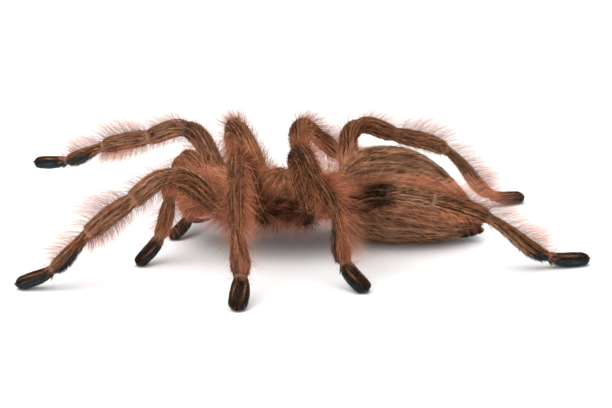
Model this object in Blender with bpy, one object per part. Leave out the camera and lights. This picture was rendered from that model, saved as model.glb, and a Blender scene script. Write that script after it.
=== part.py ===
"""A Chilean rose tarantula, life size and standing still, one closed solid for each part of the animal.

The spider faces -X, its left side is towards -Y and up is +Z. All sizes below are in millimetres.
It stands on the floor at z = 0 on seven feet, both palps and the belly, with its right foreleg raised.
"""

import math
import random

import bmesh
import bpy
from mathutils import Vector
from mathutils.bvhtree import BVHTree

MM = 0.001
GAP = 0.3
FLOOR_PRESS = 0.3

CARAPACE_LENGTH = 25.0
CARAPACE_WIDTH = 22.0
CARAPACE_MIDDLE = -0.5
CARAPACE_RIM_HEIGHT = 12.9
CARAPACE_CROWN = 3.9
CARAPACE_RIM_DEPTH = 1.2
CARAPACE_NARROWING = 0.16
CARAPACE_BLUNTNESS = 0.06
CARAPACE_SIDES = 30
CARAPACE_SHARES = (0.12, 0.3, 0.5, 0.7, 0.86, 0.96, 1.0)

# Swellings and pits of the carapace: (height, how far ahead, length, width).
HEAD_SWELLING = (1.0, 6.5, 4.5, 4.0)
FOVEA_PIT = (1.1, -4.0, 1.8, 1.4)
GROOVE_COUNT = 8
GROOVE_DEPTH = 0.22

# The mound that carries the eyes: how far ahead it is, and its half sizes along, across and up.
# Each eye of one side is (ahead of the mound's middle, off the midline, above the carapace, radius).
EYE_MOUND_AHEAD = 9.6
EYE_MOUND_HALF_SIZES = (1.5, 1.9, 1.7)
EYES = (
    (0.62, 0.55, 1.35, 0.42),
    (0.95, 1.25, 0.95, 0.38),
    (-0.55, 1.35, 0.98, 0.36),
    (-0.5, 0.85, 1.3, 0.3),
)

STERNUM_HALF_LENGTH = 7.0
STERNUM_HALF_WIDTH = 5.2
STERNUM_HEIGHT = 7.4
STERNUM_FLESH = (2.0, 1.6, 3.4)

HIP_HEIGHT = 11.7
LEG_SIDES = 8
BEND_EASE = 0.4

# Each hip is (ahead of the carapace's middle, out from the midline); each coxa starts by the sternum.
HIPS = {
    "palp": (15.4, 7.8),
    "leg_1": (13.6, 13.8),
    "leg_2": (5.0, 16.0),
    "leg_3": (-5.0, 16.0),
    "leg_4": (-14.2, 13.0),
}
COXA_ROOTS = {
    "palp": (6.0, 3.0),
    "leg_1": (4.6, 4.4),
    "leg_2": (1.8, 5.2),
    "leg_3": (-1.8, 5.2),
    "leg_4": (-5.0, 4.2),
}
COXA_ROOT_HEIGHT = 9.3

LEG_SEGMENTS = ("femur", "patella", "tibia", "metatarsus", "tarsus")
PALP_SEGMENTS = ("femur", "patella", "tibia", "tarsus")
SEGMENT_LENGTHS = {
    "palp": (11.2, 6.8, 8.2, 8.0),
    "leg_1": (16.8, 10.3, 12.1, 10.3, 8.1),
    "leg_2": (15.4, 9.3, 10.8, 10.5, 8.7),
    "leg_3": (13.8, 8.2, 9.6, 11.3, 8.0),
    "leg_4": (16.5, 8.9, 12.8, 16.2, 9.6),
}

# Half height and half width of each segment at its fullest, over the short fur.
SEGMENT_HALF_SIZES = {
    "coxa": (3.2, 3.1),
    "femur": (2.9, 2.5),
    "patella": (2.4, 2.25),
    "tibia": (2.25, 2.1),
    "metatarsus": (1.85, 2.3),
    "tarsus": (1.75, 2.35),
}
PALP_GIRTH = {"coxa": 0.82, "femur": 0.82, "patella": 0.84, "tibia": 0.92, "tarsus": 0.86}

# Where along a segment its rings stand, and how full it is there.
SEGMENT_FULLNESS = {
    "coxa": ((0.0, 0.8), (0.4, 0.98), (0.8, 0.95), (1.0, 0.76)),
    "femur": ((0.0, 0.78), (0.14, 0.92), (0.5, 1.02), (0.86, 0.96), (1.0, 0.82)),
    "patella": ((0.0, 0.84), (0.15, 0.99), (0.52, 1.03), (0.88, 0.98), (1.0, 0.84)),
    "tibia": ((0.0, 0.84), (0.12, 1.0), (0.45, 1.04), (0.88, 0.96), (1.0, 0.78)),
    "metatarsus": ((0.0, 0.66), (0.14, 0.74), (0.45, 0.92), (0.78, 1.04), (1.0, 0.72)),
    "tarsus": ((0.0, 0.66), (0.12, 0.92), (0.5, 1.02), (0.88, 0.94), (1.0, 0.66)),
}

# Each pair is (turn from straight ahead to the leg's own side, rise above level), in degrees.
# The segment before the foot has a turn alone: its rise follows from where the foot has to be.
LEG_POSES = {
    "palp_left": ((12, 34), (84, -48), (36,), (47, -36)),
    "palp_right": ((42, 18), (92, -105), (-103,), (-61, -25)),
    "leg_1_left": ((42, 32), (34, -21), (32, -29), (15,), (1, -23)),
    "leg_1_right": ((51, 31), (22, -15), (18, -15), (15,), (11, -6)),
    "leg_2_left": ((61, 55), (86, -20), (91, -40), (99,), (85, -30)),
    "leg_2_right": ((64, 31), (80, -18), (92, -37), (88,), (86, -20)),
    "leg_3_left": ((66, 72), (121, -32), (117, -29), (129,), (128, -33)),
    "leg_3_right": ((84, 38), (124, -24), (136, -38), (137,), (137, -20)),
    "leg_4_left": ((124, 20), (184, -9), (187, -20), (185,), (196, -8)),
    "leg_4_right": ((105, 32), (176, -13), (179, -18), (170,), (150, -12)),
}
RAISED_FOOT = {"leg_1_right": 8.4}
LEFT = 1
RIGHT = -1
SIDES = {"left": LEFT, "right": RIGHT}

# The abdomen from its waist to its tip: (behind the carapace's middle, top, bottom, half width).
ABDOMEN_STATIONS = (
    (12.6, 15.4, 6.4, 3.6),
    (13.6, 18.2, 3.0, 6.6),
    (15.8, 20.4, 1.0, 8.8),
    (19.0, 21.5, 0.1, 10.6),
    (23.0, 21.8, -0.3, 11.6),
    (27.6, 21.2, -0.3, 11.8),
    (32.0, 19.2, -0.2, 11.0),
    (36.0, 16.2, 0.2, 9.4),
    (39.4, 12.5, 0.9, 7.2),
    (41.8, 9.4, 1.9, 4.6),
    (43.0, 6.8, 3.0, 2.0),
)
ABDOMEN_SIDES = 20
ABDOMEN_ORIGIN_HEIGHT = 11.0

# The narrow waist between carapace and abdomen, with its half thickness at its front, middle and back.
PEDICEL_FRONT = -9.4
PEDICEL_MIDDLE = -11.0
PEDICEL_HEIGHT = 9.6
PEDICEL_HALF_SIZES = (1.6, 1.7, 1.7)
PEDICEL_SIDES = 12

# Each jaw's curve from root to tip is (ahead, out from the jaw's own line, up).
# Its fullness is (how far along the curve, share of the half sizes).
CHELICERA_HALF_HEIGHT = 4.3
CHELICERA_HALF_WIDTH = 2.65
CHELICERA_OFF_MIDDLE = 2.85
CHELICERA_CURVE = ((10.8, 0.0, 10.6), (14.0, 0.0, 12.6), (18.8, 0.1, 12.6), (20.6, -0.1, 8.4))
CHELICERA_FULLNESS = (
    (0.0, 0.72),
    (0.2, 0.92),
    (0.42, 1.0),
    (0.62, 1.0),
    (0.8, 0.9),
    (0.93, 0.66),
    (1.0, 0.4),
)
CHELICERA_SIDES = 14
CHELICERA_LEAST_WIDTH = 0.35

# The fang folded back under each jaw and the spinneret each side of the tail: a curve of
# (ahead, out from the midline, up), and (how far along it, half thickness).
FANG_CURVE = ((21.2, 2.65, 7.6), (21.6, 2.65, 5.2), (18.8, 2.65, 5.0), (15.6, 2.05, 6.1))
FANG_HALF_SIZES = ((0.0, 1.0), (0.25, 0.9), (0.5, 0.72), (0.75, 0.5), (1.0, 0.28))
SPINNERET_CURVE = ((-39.6, 1.7, 2.0), (-41.6, 1.8, 2.1), (-43.2, 1.9, 2.5), (-44.8, 2.1, 3.0))
SPINNERET_HALF_SIZES = ((0.0, 1.0), (0.3, 1.15), (0.38, 1.0), (0.64, 1.02), (0.72, 0.9), (1.0, 0.72))
FINGER_SIDES = 8

# Long hair stands in flat tapered locks. Their roots are sunk, and they bend over towards their tips.
LOCK_THICKNESS = 0.65
LOCK_SINK = 1.1
LOCK_ROOM = 0.75
LOCK_SPACE = 1.0
FLOOR_ROOM = 0.5
LOCK_SEED = 7

# How a lock varies: sway to either side in degrees, and the shortest, longest, narrowest and widest share.
LOCK_SWAY = 14
LOCK_LENGTHS = (0.86, 1.12)
LOCK_WIDTHS = (0.88, 1.1)

# A lock with no room is tried again with more or less lean in degrees and a share of its length.
LOCK_TRIES = ((0, 1.0), (12, 1.0), (-10, 0.9), (0, 0.75), (24, 0.9), (12, 0.6))
LEAST_LEAN = 8

# The blade of a lock: (share of its length, share of its width, share of its thickness), before its tip.
LOCK_BLADE = ((0.3, 1.0, 1.0), (0.66, 0.72, 0.85))
LOCK_ROOT_WIDTH = 0.62

# For each segment: length and width of a lock over the back of the leg, how far it leans up at root and tip,
# how short the locks underneath are, and rows of (where along the segment, locks round it, turn in degrees).
LEG_HAIR = {
    "femur": (5.6, 2.7, (42, 14), 0.8, ((0.24, 3, 240), (0.66, 3, 210))),
    "patella": (6.4, 2.4, (66, 38), 0.6, ((0.16, 3, 170), (0.62, 3, 200))),
    "tibia": (6.6, 2.4, (54, 24), 0.55, ((0.1, 3, 200), (0.46, 3, 240), (0.8, 2, 150))),
    "metatarsus": (6.2, 2.1, (54, 26), 0.45, ((0.08, 2, 130), (0.42, 3, 220), (0.78, 2, 130))),
}
PALP_HAIR = {
    "femur": (4.6, 2.3, (42, 14), 0.8, ((0.25, 3, 230), (0.68, 3, 200))),
    "patella": (5.0, 2.2, (50, 20), 0.6, ((0.2, 3, 220), (0.68, 2, 150))),
    "tibia": (5.4, 2.2, (50, 22), 0.6, ((0.15, 3, 220), (0.6, 3, 240))),
}
ROW_TWIST = 10

# Tiers of locks on the abdomen: (behind the carapace's middle, locks in the tier).
ABDOMEN_TIERS = ((15.2, 6), (19.4, 7), (23.8, 8), (28.2, 7), (32.4, 7), (36.4, 4))
ABDOMEN_LOCK = (5.8, 2.5)
ABDOMEN_TURN = 250
ABDOMEN_FLANK_LENGTH = 1.2
ABDOMEN_LEAN = (22, 8)
ABDOMEN_FLANK_LEAN = 8
ABDOMEN_CORE_HEIGHT = 10.0

# Rows of locks on a jaw: (how far ahead, locks in the row), and how the rows are spread round it.
JAW_TIERS = ((13.4, 3), (16.4, 3), (19.0, 3))
JAW_LOCK = (4.8, 2.2)
JAW_LEAN = (36, 4)
JAW_TURN = 110
JAW_FIRST_TURN = -18
JAW_CORE_HEIGHT = 11.6

# Tufts round a coxa: (how far along it, turn from its top in degrees, length).
HIP_TUFTS = ((0.72, 40, 4.8), (0.72, -40, 4.8), (0.7, 180, 3.2))
HIP_LOCK_WIDTH = 2.3
HIP_LEAN = (48, 20)


def spot(forward, left, up):
    """A point or direction from the spider's own axes."""
    return Vector((-forward, -left, up))


def direction(turn, rise, side):
    """The way a segment points, turned from straight ahead to its own side and raised above level."""
    turn, rise = math.radians(turn), math.radians(rise)
    return spot(math.cos(turn) * math.cos(rise), side * math.sin(turn) * math.cos(rise), math.sin(rise))


def level_side(way):
    """The level direction square to a heading."""
    return Vector((0, 0, 1)).cross(Vector((way.x, way.y, 0))).normalized()


def bezier(points, t):
    """The place and the direction at t on a cubic curve."""
    a, b, c, d = points
    s = 1 - t
    place = a * s**3 + b * (3 * s * s * t) + c * (3 * s * t * t) + d * t**3
    way = (b - a) * (s * s) + (c - b) * (2 * s * t) + (d - c) * (t * t)
    return place, way.normalized()


def oval_ring(place, way, across, half_height, half_width, count):
    """A ring of points round a curve, taller or wider as its halves say."""
    upward = way.cross(across).normalized()
    outward = upward.cross(way).normalized()
    ring = []
    for k in range(count):
        turn = 2 * math.pi * (k + 0.5) / count
        ring.append(place + upward * (half_height * math.cos(turn)) + outward * (half_width * math.sin(turn)))
    return ring


def loft(rings):
    """Points and faces of a closed tube through rings, with flat ends."""
    count = len(rings[0])
    points = [p for ring in rings for p in ring]
    faces = [tuple(range(count)), tuple(range(len(points) - count, len(points)))]
    for r in range(len(rings) - 1):
        for k in range(count):
            a, b = r * count + k, r * count + (k + 1) % count
            faces.append((a, b, b + count, a + count))
    return points, faces


def material(name, colour, roughness):
    """A finish shared by every node of the same kind."""
    made = bpy.data.materials.get(name)
    if made is None:
        made = bpy.data.materials.new(name)
        made.use_nodes = True
        shader = made.node_tree.nodes["Principled BSDF"]
        shader.inputs["Base Color"].default_value = (*colour, 1.0)
        shader.inputs["Roughness"].default_value = roughness
    return made


def brown_coat():
    return material("brown_coat", (0.20, 0.10, 0.06), 0.75)


def rose_coat():
    return material("rose_coat", (0.38, 0.16, 0.10), 0.75)


def dark_pad():
    return material("dark_pad", (0.03, 0.025, 0.025), 0.7)


def horn():
    return material("horn", (0.02, 0.012, 0.01), 0.25)


def solid(name, points, faces, origin, finish, parent):
    """A named object whose mesh is measured from its own origin."""
    mesh = bpy.data.meshes.new(name)
    mesh.from_pydata([(p - origin) * MM for p in points], [], faces)
    body = bmesh.new()
    body.from_mesh(mesh)
    bmesh.ops.recalc_face_normals(body, faces=body.faces)
    body.to_mesh(mesh)
    body.free()
    mesh.materials.append(finish)
    made = bpy.data.objects.new(name, mesh)
    bpy.context.scene.collection.objects.link(made)
    made.location = origin * MM
    made.parent = parent
    mesh.shade_smooth()
    mesh.set_sharp_from_angle(angle=math.radians(50))
    return made


def combine(target, others, operation, solver="EXACT"):
    """Joins or cuts target with a collection of closed meshes, which are then removed."""
    group = bpy.data.collections.new("pieces")
    bpy.context.scene.collection.children.link(group)
    for other in others:
        bpy.context.scene.collection.objects.unlink(other)
        group.objects.link(other)
    step = target.modifiers.new(operation, "BOOLEAN")
    step.operation = operation
    step.operand_type = "COLLECTION"
    step.collection = group
    step.solver = solver
    bpy.context.view_layer.update()
    graph = bpy.context.evaluated_depsgraph_get()
    made = bpy.data.meshes.new_from_object(target.evaluated_get(graph))
    target.modifiers.clear()
    target.data = made
    for other in list(group.objects):
        bpy.data.objects.remove(other)
    bpy.data.collections.remove(group)
    keep_largest(made)
    made.shade_smooth()
    made.set_sharp_from_angle(angle=math.radians(50))


def keep_largest(mesh):
    """Drops every closed surface but the one with the most room in it."""
    body = bmesh.new()
    body.from_mesh(mesh)
    unseen = set(body.faces)
    shells = []
    while unseen:
        shell, edge = set(), [unseen.pop()]
        while edge:
            face = edge.pop()
            shell.add(face)
            for side in face.edges:
                for other in side.link_faces:
                    if other in unseen:
                        unseen.discard(other)
                        edge.append(other)
        shells.append(shell)

    def room(shell):
        return sum(f.calc_center_median().dot(f.normal) * f.calc_area() for f in shell)

    shells.sort(key=room)
    for shell in shells[:-1]:
        bmesh.ops.delete(body, geom=list(shell), context="FACES")
    body.to_mesh(mesh)
    body.free()


def carapace_outline(turn, grow):
    """How far ahead and how far left the rim is at a turn from straight ahead."""
    narrowing = 1 - CARAPACE_NARROWING * math.cos(turn)
    bluntness = 1 + CARAPACE_BLUNTNESS * math.sin(2 * turn) ** 2
    ahead = (CARAPACE_LENGTH / 2 + grow) * math.cos(turn) * bluntness
    aside = (CARAPACE_WIDTH / 2 + grow) * math.sin(turn) * narrowing * bluntness
    return ahead, aside


def swelling(shape, ahead, aside):
    """The height of a round-edged rise at a place."""
    height, middle, length, width = shape
    return height * math.exp(-(((ahead - middle) / length) ** 2) - (aside / width) ** 2)


def carapace_height(share, turn, ahead, aside):
    """Height over the rim, with a raised head, a pit behind the middle and grooves that run out from it."""
    dome = CARAPACE_CROWN * (1 - share**2.2)
    head = swelling(HEAD_SWELLING, ahead, aside) * (1 - share)
    pit = swelling(FOVEA_PIT, ahead, aside)
    grooves = GROOVE_DEPTH * math.cos(GROOVE_COUNT * turn) * share * (1 - share) * 4
    return dome + head - pit - grooves


def carapace_points(grow=0.0):
    """The shield over the front body: a low dome with a rounded rim and a flat underside."""
    around = CARAPACE_SIDES
    shares = CARAPACE_SHARES
    points = [spot(CARAPACE_MIDDLE, 0, CARAPACE_RIM_HEIGHT + grow + carapace_height(0, 0, 0, 0))]
    for share in shares:
        for k in range(around):
            turn = 2 * math.pi * k / around
            ahead, aside = carapace_outline(turn, grow)
            ahead, aside = ahead * share, aside * share
            up = CARAPACE_RIM_HEIGHT + grow + carapace_height(share, turn, ahead, aside)
            points.append(spot(CARAPACE_MIDDLE + ahead, aside, up))
    for k in range(around):
        ahead, aside = carapace_outline(2 * math.pi * k / around, grow)
        low = CARAPACE_RIM_HEIGHT - CARAPACE_RIM_DEPTH - grow
        points.append(spot(CARAPACE_MIDDLE + ahead * 0.97, aside * 0.97, low))
    rows = len(shares) + 1
    faces = [(0, 1 + k, 1 + (k + 1) % around) for k in range(around)]
    for r in range(rows - 1):
        for k in range(around):
            a, b = 1 + r * around + k, 1 + r * around + (k + 1) % around
            faces.append((a, a + around, b + around, b))
    faces.append(tuple(1 + (rows - 1) * around + k for k in range(around)))
    return points, faces


def carapace(parent):
    points, faces = carapace_points()
    origin = spot(CARAPACE_MIDDLE, 0, CARAPACE_RIM_HEIGHT)
    return solid("carapace", points, faces, origin, rose_coat(), parent)


def grown_carapace(parent):
    """The carapace with its clearance, to cut what lies against it."""
    points, faces = carapace_points(GAP)
    return solid("carapace_clearance", points, faces, spot(0, 0, 0), horn(), parent)


def ball(name, centre, half_sizes, finish, parent, around=12, rows=6):
    """A closed ellipsoid; half_sizes are along the spider's length, width and height."""
    points = [centre + spot(0, 0, half_sizes[2])]
    for r in range(1, rows):
        fall = math.pi * r / rows
        for k in range(around):
            turn = 2 * math.pi * k / around
            points.append(
                centre
                + spot(
                    half_sizes[0] * math.sin(fall) * math.cos(turn),
                    half_sizes[1] * math.sin(fall) * math.sin(turn),
                    half_sizes[2] * math.cos(fall),
                )
            )
    points.append(centre - spot(0, 0, half_sizes[2]))
    last = len(points) - 1
    faces = [(0, 1 + k, 1 + (k + 1) % around) for k in range(around)]
    for r in range(rows - 2):
        for k in range(around):
            a, b = 1 + r * around + k, 1 + r * around + (k + 1) % around
            faces.append((a, a + around, b + around, b))
    base = 1 + (rows - 2) * around
    faces += [(base + k, last, base + (k + 1) % around) for k in range(around)]
    return solid(name, points, faces, centre, finish, parent)


def eye_tubercle(parent):
    """The small mound near the front of the head that carries all eight eyes."""
    ahead = EYE_MOUND_AHEAD
    share = (ahead - CARAPACE_MIDDLE) / (CARAPACE_LENGTH / 2)
    top = CARAPACE_RIM_HEIGHT + carapace_height(share, 0, ahead - CARAPACE_MIDDLE, 0)
    mound = ball("eye_tubercle", spot(ahead, 0, top), EYE_MOUND_HALF_SIZES, horn(), parent, 12, 6)
    eyes = []
    for side in (LEFT, RIGHT):
        for forward, aside, up, radius in EYES:
            centre = spot(ahead + forward, side * aside, top + up)
            eyes.append(ball("eye", centre, (radius, radius, radius), horn(), parent, 6, 4))
    combine(mound, eyes, "UNION")
    combine(mound, [grown_carapace(parent)], "DIFFERENCE")
    return mound


def chelicera_curve(side):
    return [spot(ahead, side * (CHELICERA_OFF_MIDDLE + out), up) for ahead, out, up in CHELICERA_CURVE]


def chelicera_rings(side, grow):
    """The jaw's base: a deep, rounded lobe that leans forward and down from under the carapace."""
    across = level_side(spot(1, 0, 0))
    rings = []
    for t, fullness in CHELICERA_FULLNESS:
        place, way = bezier(chelicera_curve(side), t)
        half_height = CHELICERA_HALF_HEIGHT * fullness + grow
        width_share = CHELICERA_LEAST_WIDTH + (1 - CHELICERA_LEAST_WIDTH) * fullness
        half_width = CHELICERA_HALF_WIDTH * width_share + grow
        rings.append(oval_ring(place, way, across, half_height, half_width, CHELICERA_SIDES))
    return rings


def chelicera(name, side, parent):
    points, faces = loft(chelicera_rings(side, 0.0))
    made = solid(name, points, faces, chelicera_curve(side)[0], rose_coat(), parent)
    combine(made, [grown_carapace(parent)], "DIFFERENCE")
    return made


def grown_chelicera(side, parent):
    points, faces = loft(chelicera_rings(side, GAP))
    return solid("chelicera_clearance", points, faces, spot(0, 0, 0), horn(), parent)


def finger(name, places, half_sizes, side, finish, parent):
    """A round tube that thins along a curve given for the left side."""
    curve = [spot(ahead, side * out, up) for ahead, out, up in places]
    across = level_side(spot(1, 0, 0))
    rings = []
    for t, half in half_sizes:
        place, way = bezier(curve, t)
        rings.append(oval_ring(place, way, across, half, half, FINGER_SIDES))
    points, faces = loft(rings)
    return solid(name, points, faces, curve[0], finish, parent)


def fang(name, side, parent):
    """The curved fang, folded back under its jaw."""
    made = finger(name, FANG_CURVE, FANG_HALF_SIZES, side, horn(), parent)
    combine(made, [grown_chelicera(side, parent)], "DIFFERENCE")
    return made


def hip(leg, side):
    """Where a leg's femur starts."""
    ahead, out = HIPS[leg]
    return spot(ahead, side * out, HIP_HEIGHT)


def coxa_root(leg, side):
    ahead, out = COXA_ROOTS[leg]
    return spot(ahead, side * out, COXA_ROOT_HEIGHT)


def ankle_height(rise, length, half_height):
    """The height of the tarsus's upper end that presses its pad a little into the floor."""
    slope = -math.radians(rise)
    stations = SEGMENT_FULLNESS["tarsus"]
    reach = max(t * length * math.sin(slope) + half_height * full * math.cos(slope) for t, full in stations)
    return reach - FLOOR_PRESS


def leg_joints(name):
    """The joints of one leg or palp from hip to foot, and the way each segment points."""
    leg, side_name = name.rsplit("_", 1)
    side = SIDES[side_name]
    pose = LEG_POSES[name]
    lengths = SEGMENT_LENGTHS[leg]
    half_height = SEGMENT_HALF_SIZES["tarsus"][0] * girth_of(name, "tarsus")
    ankle = ankle_height(pose[-1][1], lengths[-1], half_height) + RAISED_FOOT.get(name, 0.0)
    joints, ways = [hip(leg, side)], []
    for length, (turn, *rises) in zip(lengths, pose):
        rise = rises[0] if rises else math.degrees(math.asin((ankle - joints[-1].z) / length))
        ways.append(direction(turn, rise, side))
        joints.append(joints[-1] + ways[-1] * length)
    return joints, ways


def leg_curves(name):
    """A cubic curve for the coxa and for each segment; neighbours meet square to the same direction."""
    leg, side_name = name.rsplit("_", 1)
    kinds = PALP_SEGMENTS if leg == "palp" else LEG_SEGMENTS
    root = coxa_root(leg, SIDES[side_name])
    joints, ways = leg_joints(name)
    coxa_way = (joints[0] - root).normalized()
    ends = [root, *joints]
    ways = [coxa_way, *ways]
    bends = [coxa_way]
    bends += [(ways[k] + ways[k + 1]).normalized() for k in range(len(ways) - 1)]
    bends.append(ways[-1])
    curves = {}
    for k, kind in enumerate(("coxa", *kinds)):
        start = ends[k] + bends[k] * (GAP / 2 if k else 0)
        last = k == len(kinds)
        end = ends[k + 1] - bends[k + 1] * (0 if last else GAP / 2)
        handle = (end - start).length * BEND_EASE
        curves[kind] = (start, start + bends[k] * handle, end - bends[k + 1] * handle, end), ways[k]
    return curves


def segment_rings(kind, curve, way, girth, grow=0.0):
    half_height, half_width = SEGMENT_HALF_SIZES[kind]
    across = level_side(way)
    rings = []
    for t, fullness in SEGMENT_FULLNESS[kind]:
        place, heading = bezier(curve, t)
        tall = half_height * fullness * girth + grow
        wide = half_width * fullness * girth + grow
        rings.append(oval_ring(place, heading, across, tall, wide, LEG_SIDES))
    return rings


def girth_of(name, kind):
    return PALP_GIRTH[kind] if name.startswith("palp") else 1.0


def leg(name, parent):
    """Every segment of a leg or palp beyond its coxa, cut clear of the one before it where the leg bends."""
    before = None
    for kind, (curve, way) in leg_curves(name).items():
        if kind != "coxa":
            points, faces = loft(segment_rings(kind, curve, way, girth_of(name, kind)))
            points = [Vector((p.x, p.y, max(p.z, 0.0))) for p in points]
            finish = dark_pad() if kind == "tarsus" else brown_coat()
            made = solid(f"{name}_{kind}", points, faces, curve[0], finish, parent)
            points, faces = loft(segment_rings(*before, girth_of(name, before[0]), GAP))
            combine(made, [solid("segment_clearance", points, faces, curve[0], horn(), parent)], "DIFFERENCE")
        before = (kind, curve, way)


def sternum_and_coxae(parent):
    """The plate between the legs with the ten coxae that fan out from it, cut clear of carapace and jaws."""
    longer, wider, half_height = STERNUM_FLESH
    centre = spot(CARAPACE_MIDDLE, 0, STERNUM_HEIGHT + half_height / 2)
    half_sizes = (STERNUM_HALF_LENGTH + longer, STERNUM_HALF_WIDTH + wider, half_height)
    base = ball("sternum_and_coxae", centre, half_sizes, brown_coat(), parent, 14, 5)
    pieces = []
    for name in LEG_POSES:
        curve, way = leg_curves(name)["coxa"]
        points, faces = loft(segment_rings("coxa", curve, way, girth_of(name, "coxa")))
        pieces.append(solid("coxa", points, faces, curve[0], brown_coat(), parent))
    combine(base, pieces, "UNION")
    cutters = [grown_carapace(parent), grown_chelicera(LEFT, parent), grown_chelicera(RIGHT, parent)]
    combine(base, cutters, "DIFFERENCE")
    return base


def smooth_between(before, start, end, after, t):
    """A value between start and end on a smooth curve that also heeds the values either side."""
    slope = end - before
    bow = 2 * before - 5 * start + 4 * end - after
    twist = 3 * start - before - 3 * end + after
    return start + 0.5 * (slope * t + bow * t * t + twist * t**3)


def smooth_through(stations, per_gap):
    """Stations on a smooth curve through the given ones."""
    made = []
    last = len(stations) - 1
    for k in range(last):
        four = [stations[max(0, min(last, k + step))] for step in (-1, 0, 1, 2)]
        for step in range(per_gap):
            made.append(tuple(smooth_between(*values, step / per_gap) for values in zip(*four)))
    made.append(stations[-1])
    return made


def abdomen_rings(grow=0.0):
    back = spot(-1, 0, 0)
    rings = []
    for behind, top, bottom, half_width in smooth_through(ABDOMEN_STATIONS, 2):
        middle = spot(-behind, 0, (top + bottom) / 2)
        half_height = (top - bottom) / 2 + grow
        rings.append(oval_ring(middle, back, level_side(back), half_height, half_width + grow, ABDOMEN_SIDES))
    return rings


def abdomen(parent):
    """The hind body, lying on a flat of its own underside."""
    points, faces = loft(abdomen_rings())
    points = [Vector((p.x, p.y, max(p.z, 0.0))) for p in points]
    origin = spot(-ABDOMEN_STATIONS[0][0], 0, ABDOMEN_ORIGIN_HEIGHT)
    made = solid("abdomen", points, faces, origin, brown_coat(), parent)
    combine(made, [grown_carapace(parent)], "DIFFERENCE")
    return made


def pedicel(parent):
    """The narrow waist between the front body and the abdomen."""
    back = spot(-1, 0, 0)
    places = (PEDICEL_FRONT - GAP, PEDICEL_MIDDLE, -ABDOMEN_STATIONS[0][0] + GAP)
    rings = []
    for ahead, half in zip(places, PEDICEL_HALF_SIZES):
        middle = spot(ahead, 0, PEDICEL_HEIGHT)
        rings.append(oval_ring(middle, back, level_side(back), half, half, PEDICEL_SIDES))
    points, faces = loft(rings)
    return solid("pedicel", points, faces, spot(places[-1], 0, PEDICEL_HEIGHT), brown_coat(), parent)


def spinneret(name, side, parent):
    """One of the two long spinnerets: a jointed finger that points back from under the abdomen's tip."""
    made = finger(name, SPINNERET_CURVE, SPINNERET_HALF_SIZES, side, brown_coat(), parent)
    points, faces = loft(abdomen_rings(GAP))
    clearance = solid("abdomen_clearance", points, faces, spot(0, 0, 0), horn(), parent)
    combine(made, [clearance], "DIFFERENCE")
    return made


class Coat:
    """Keeps what has been built, so that each new lock can be laid clear of every other node."""

    def __init__(self):
        self.random = random.Random(LOCK_SEED)
        self.nodes = {}
        self.spots = {}
        self.locks = {}

    def add(self, node):
        points = [node.matrix_world @ v.co / MM for v in node.data.vertices]
        self.nodes[node.name] = BVHTree.FromPolygons(points, [tuple(f.vertices) for f in node.data.polygons])
        self.locks[node.name] = []

    def cells(self, point):
        at = tuple(math.floor(c / LOCK_SPACE) for c in point)
        steps = (-1, 0, 1)
        return [(at[0] + i, at[1] + j, at[2] + k) for i in steps for j in steps for k in steps]

    def is_clear(self, name, samples):
        for point in samples:
            if point.z < FLOOR_ROOM:
                return False
            for other, tree in self.nodes.items():
                if other != name and tree.find_nearest(point, LOCK_ROOM)[0] is not None:
                    return False
            for cell in self.cells(point):
                for other, spot_there in self.spots.get(cell, ()):
                    if other != name and (spot_there - point).length < LOCK_SPACE:
                        return False
        return True

    def lay(self, name, inside, outward, lie, length, width, lean):
        """Grows one lock where the way outward from a point inside meets the node's surface."""
        root, normal, _, _ = self.nodes[name].ray_cast(inside, outward)
        if root is None:
            return
        if normal.dot(outward) < 0:
            normal = -normal
        sway = math.radians(self.random.uniform(-LOCK_SWAY, LOCK_SWAY))
        length *= self.random.uniform(*LOCK_LENGTHS)
        width *= self.random.uniform(*LOCK_WIDTHS)
        flat = (lie - normal * lie.dot(normal)).normalized()
        flat = flat * math.cos(sway) + normal.cross(flat) * math.sin(sway)
        for lift, share in LOCK_TRIES:
            at_root, at_tip = (math.radians(max(LEAST_LEAN, angle + lift)) for angle in lean)
            start = flat * math.cos(at_root) + normal * math.sin(at_root)
            finish = flat * math.cos(at_tip) + normal * math.sin(at_tip)
            points, faces, samples = lock_shape(root, start, finish, normal, length * share, width)
            if self.is_clear(name, samples):
                self.locks[name].append((points, faces))
                for point in samples:
                    cell = tuple(math.floor(c / LOCK_SPACE) for c in point)
                    self.spots.setdefault(cell, []).append((name, point))
                return

    def fuse(self, node):
        """Joins a node and its locks into one solid."""
        shapes = self.locks[node.name]
        if shapes:
            finish = node.data.materials[0]
            middle = spot(0, 0, 0)
            combine(node, [solid("lock", *shape, middle, finish, node.parent) for shape in shapes], "UNION")


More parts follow.
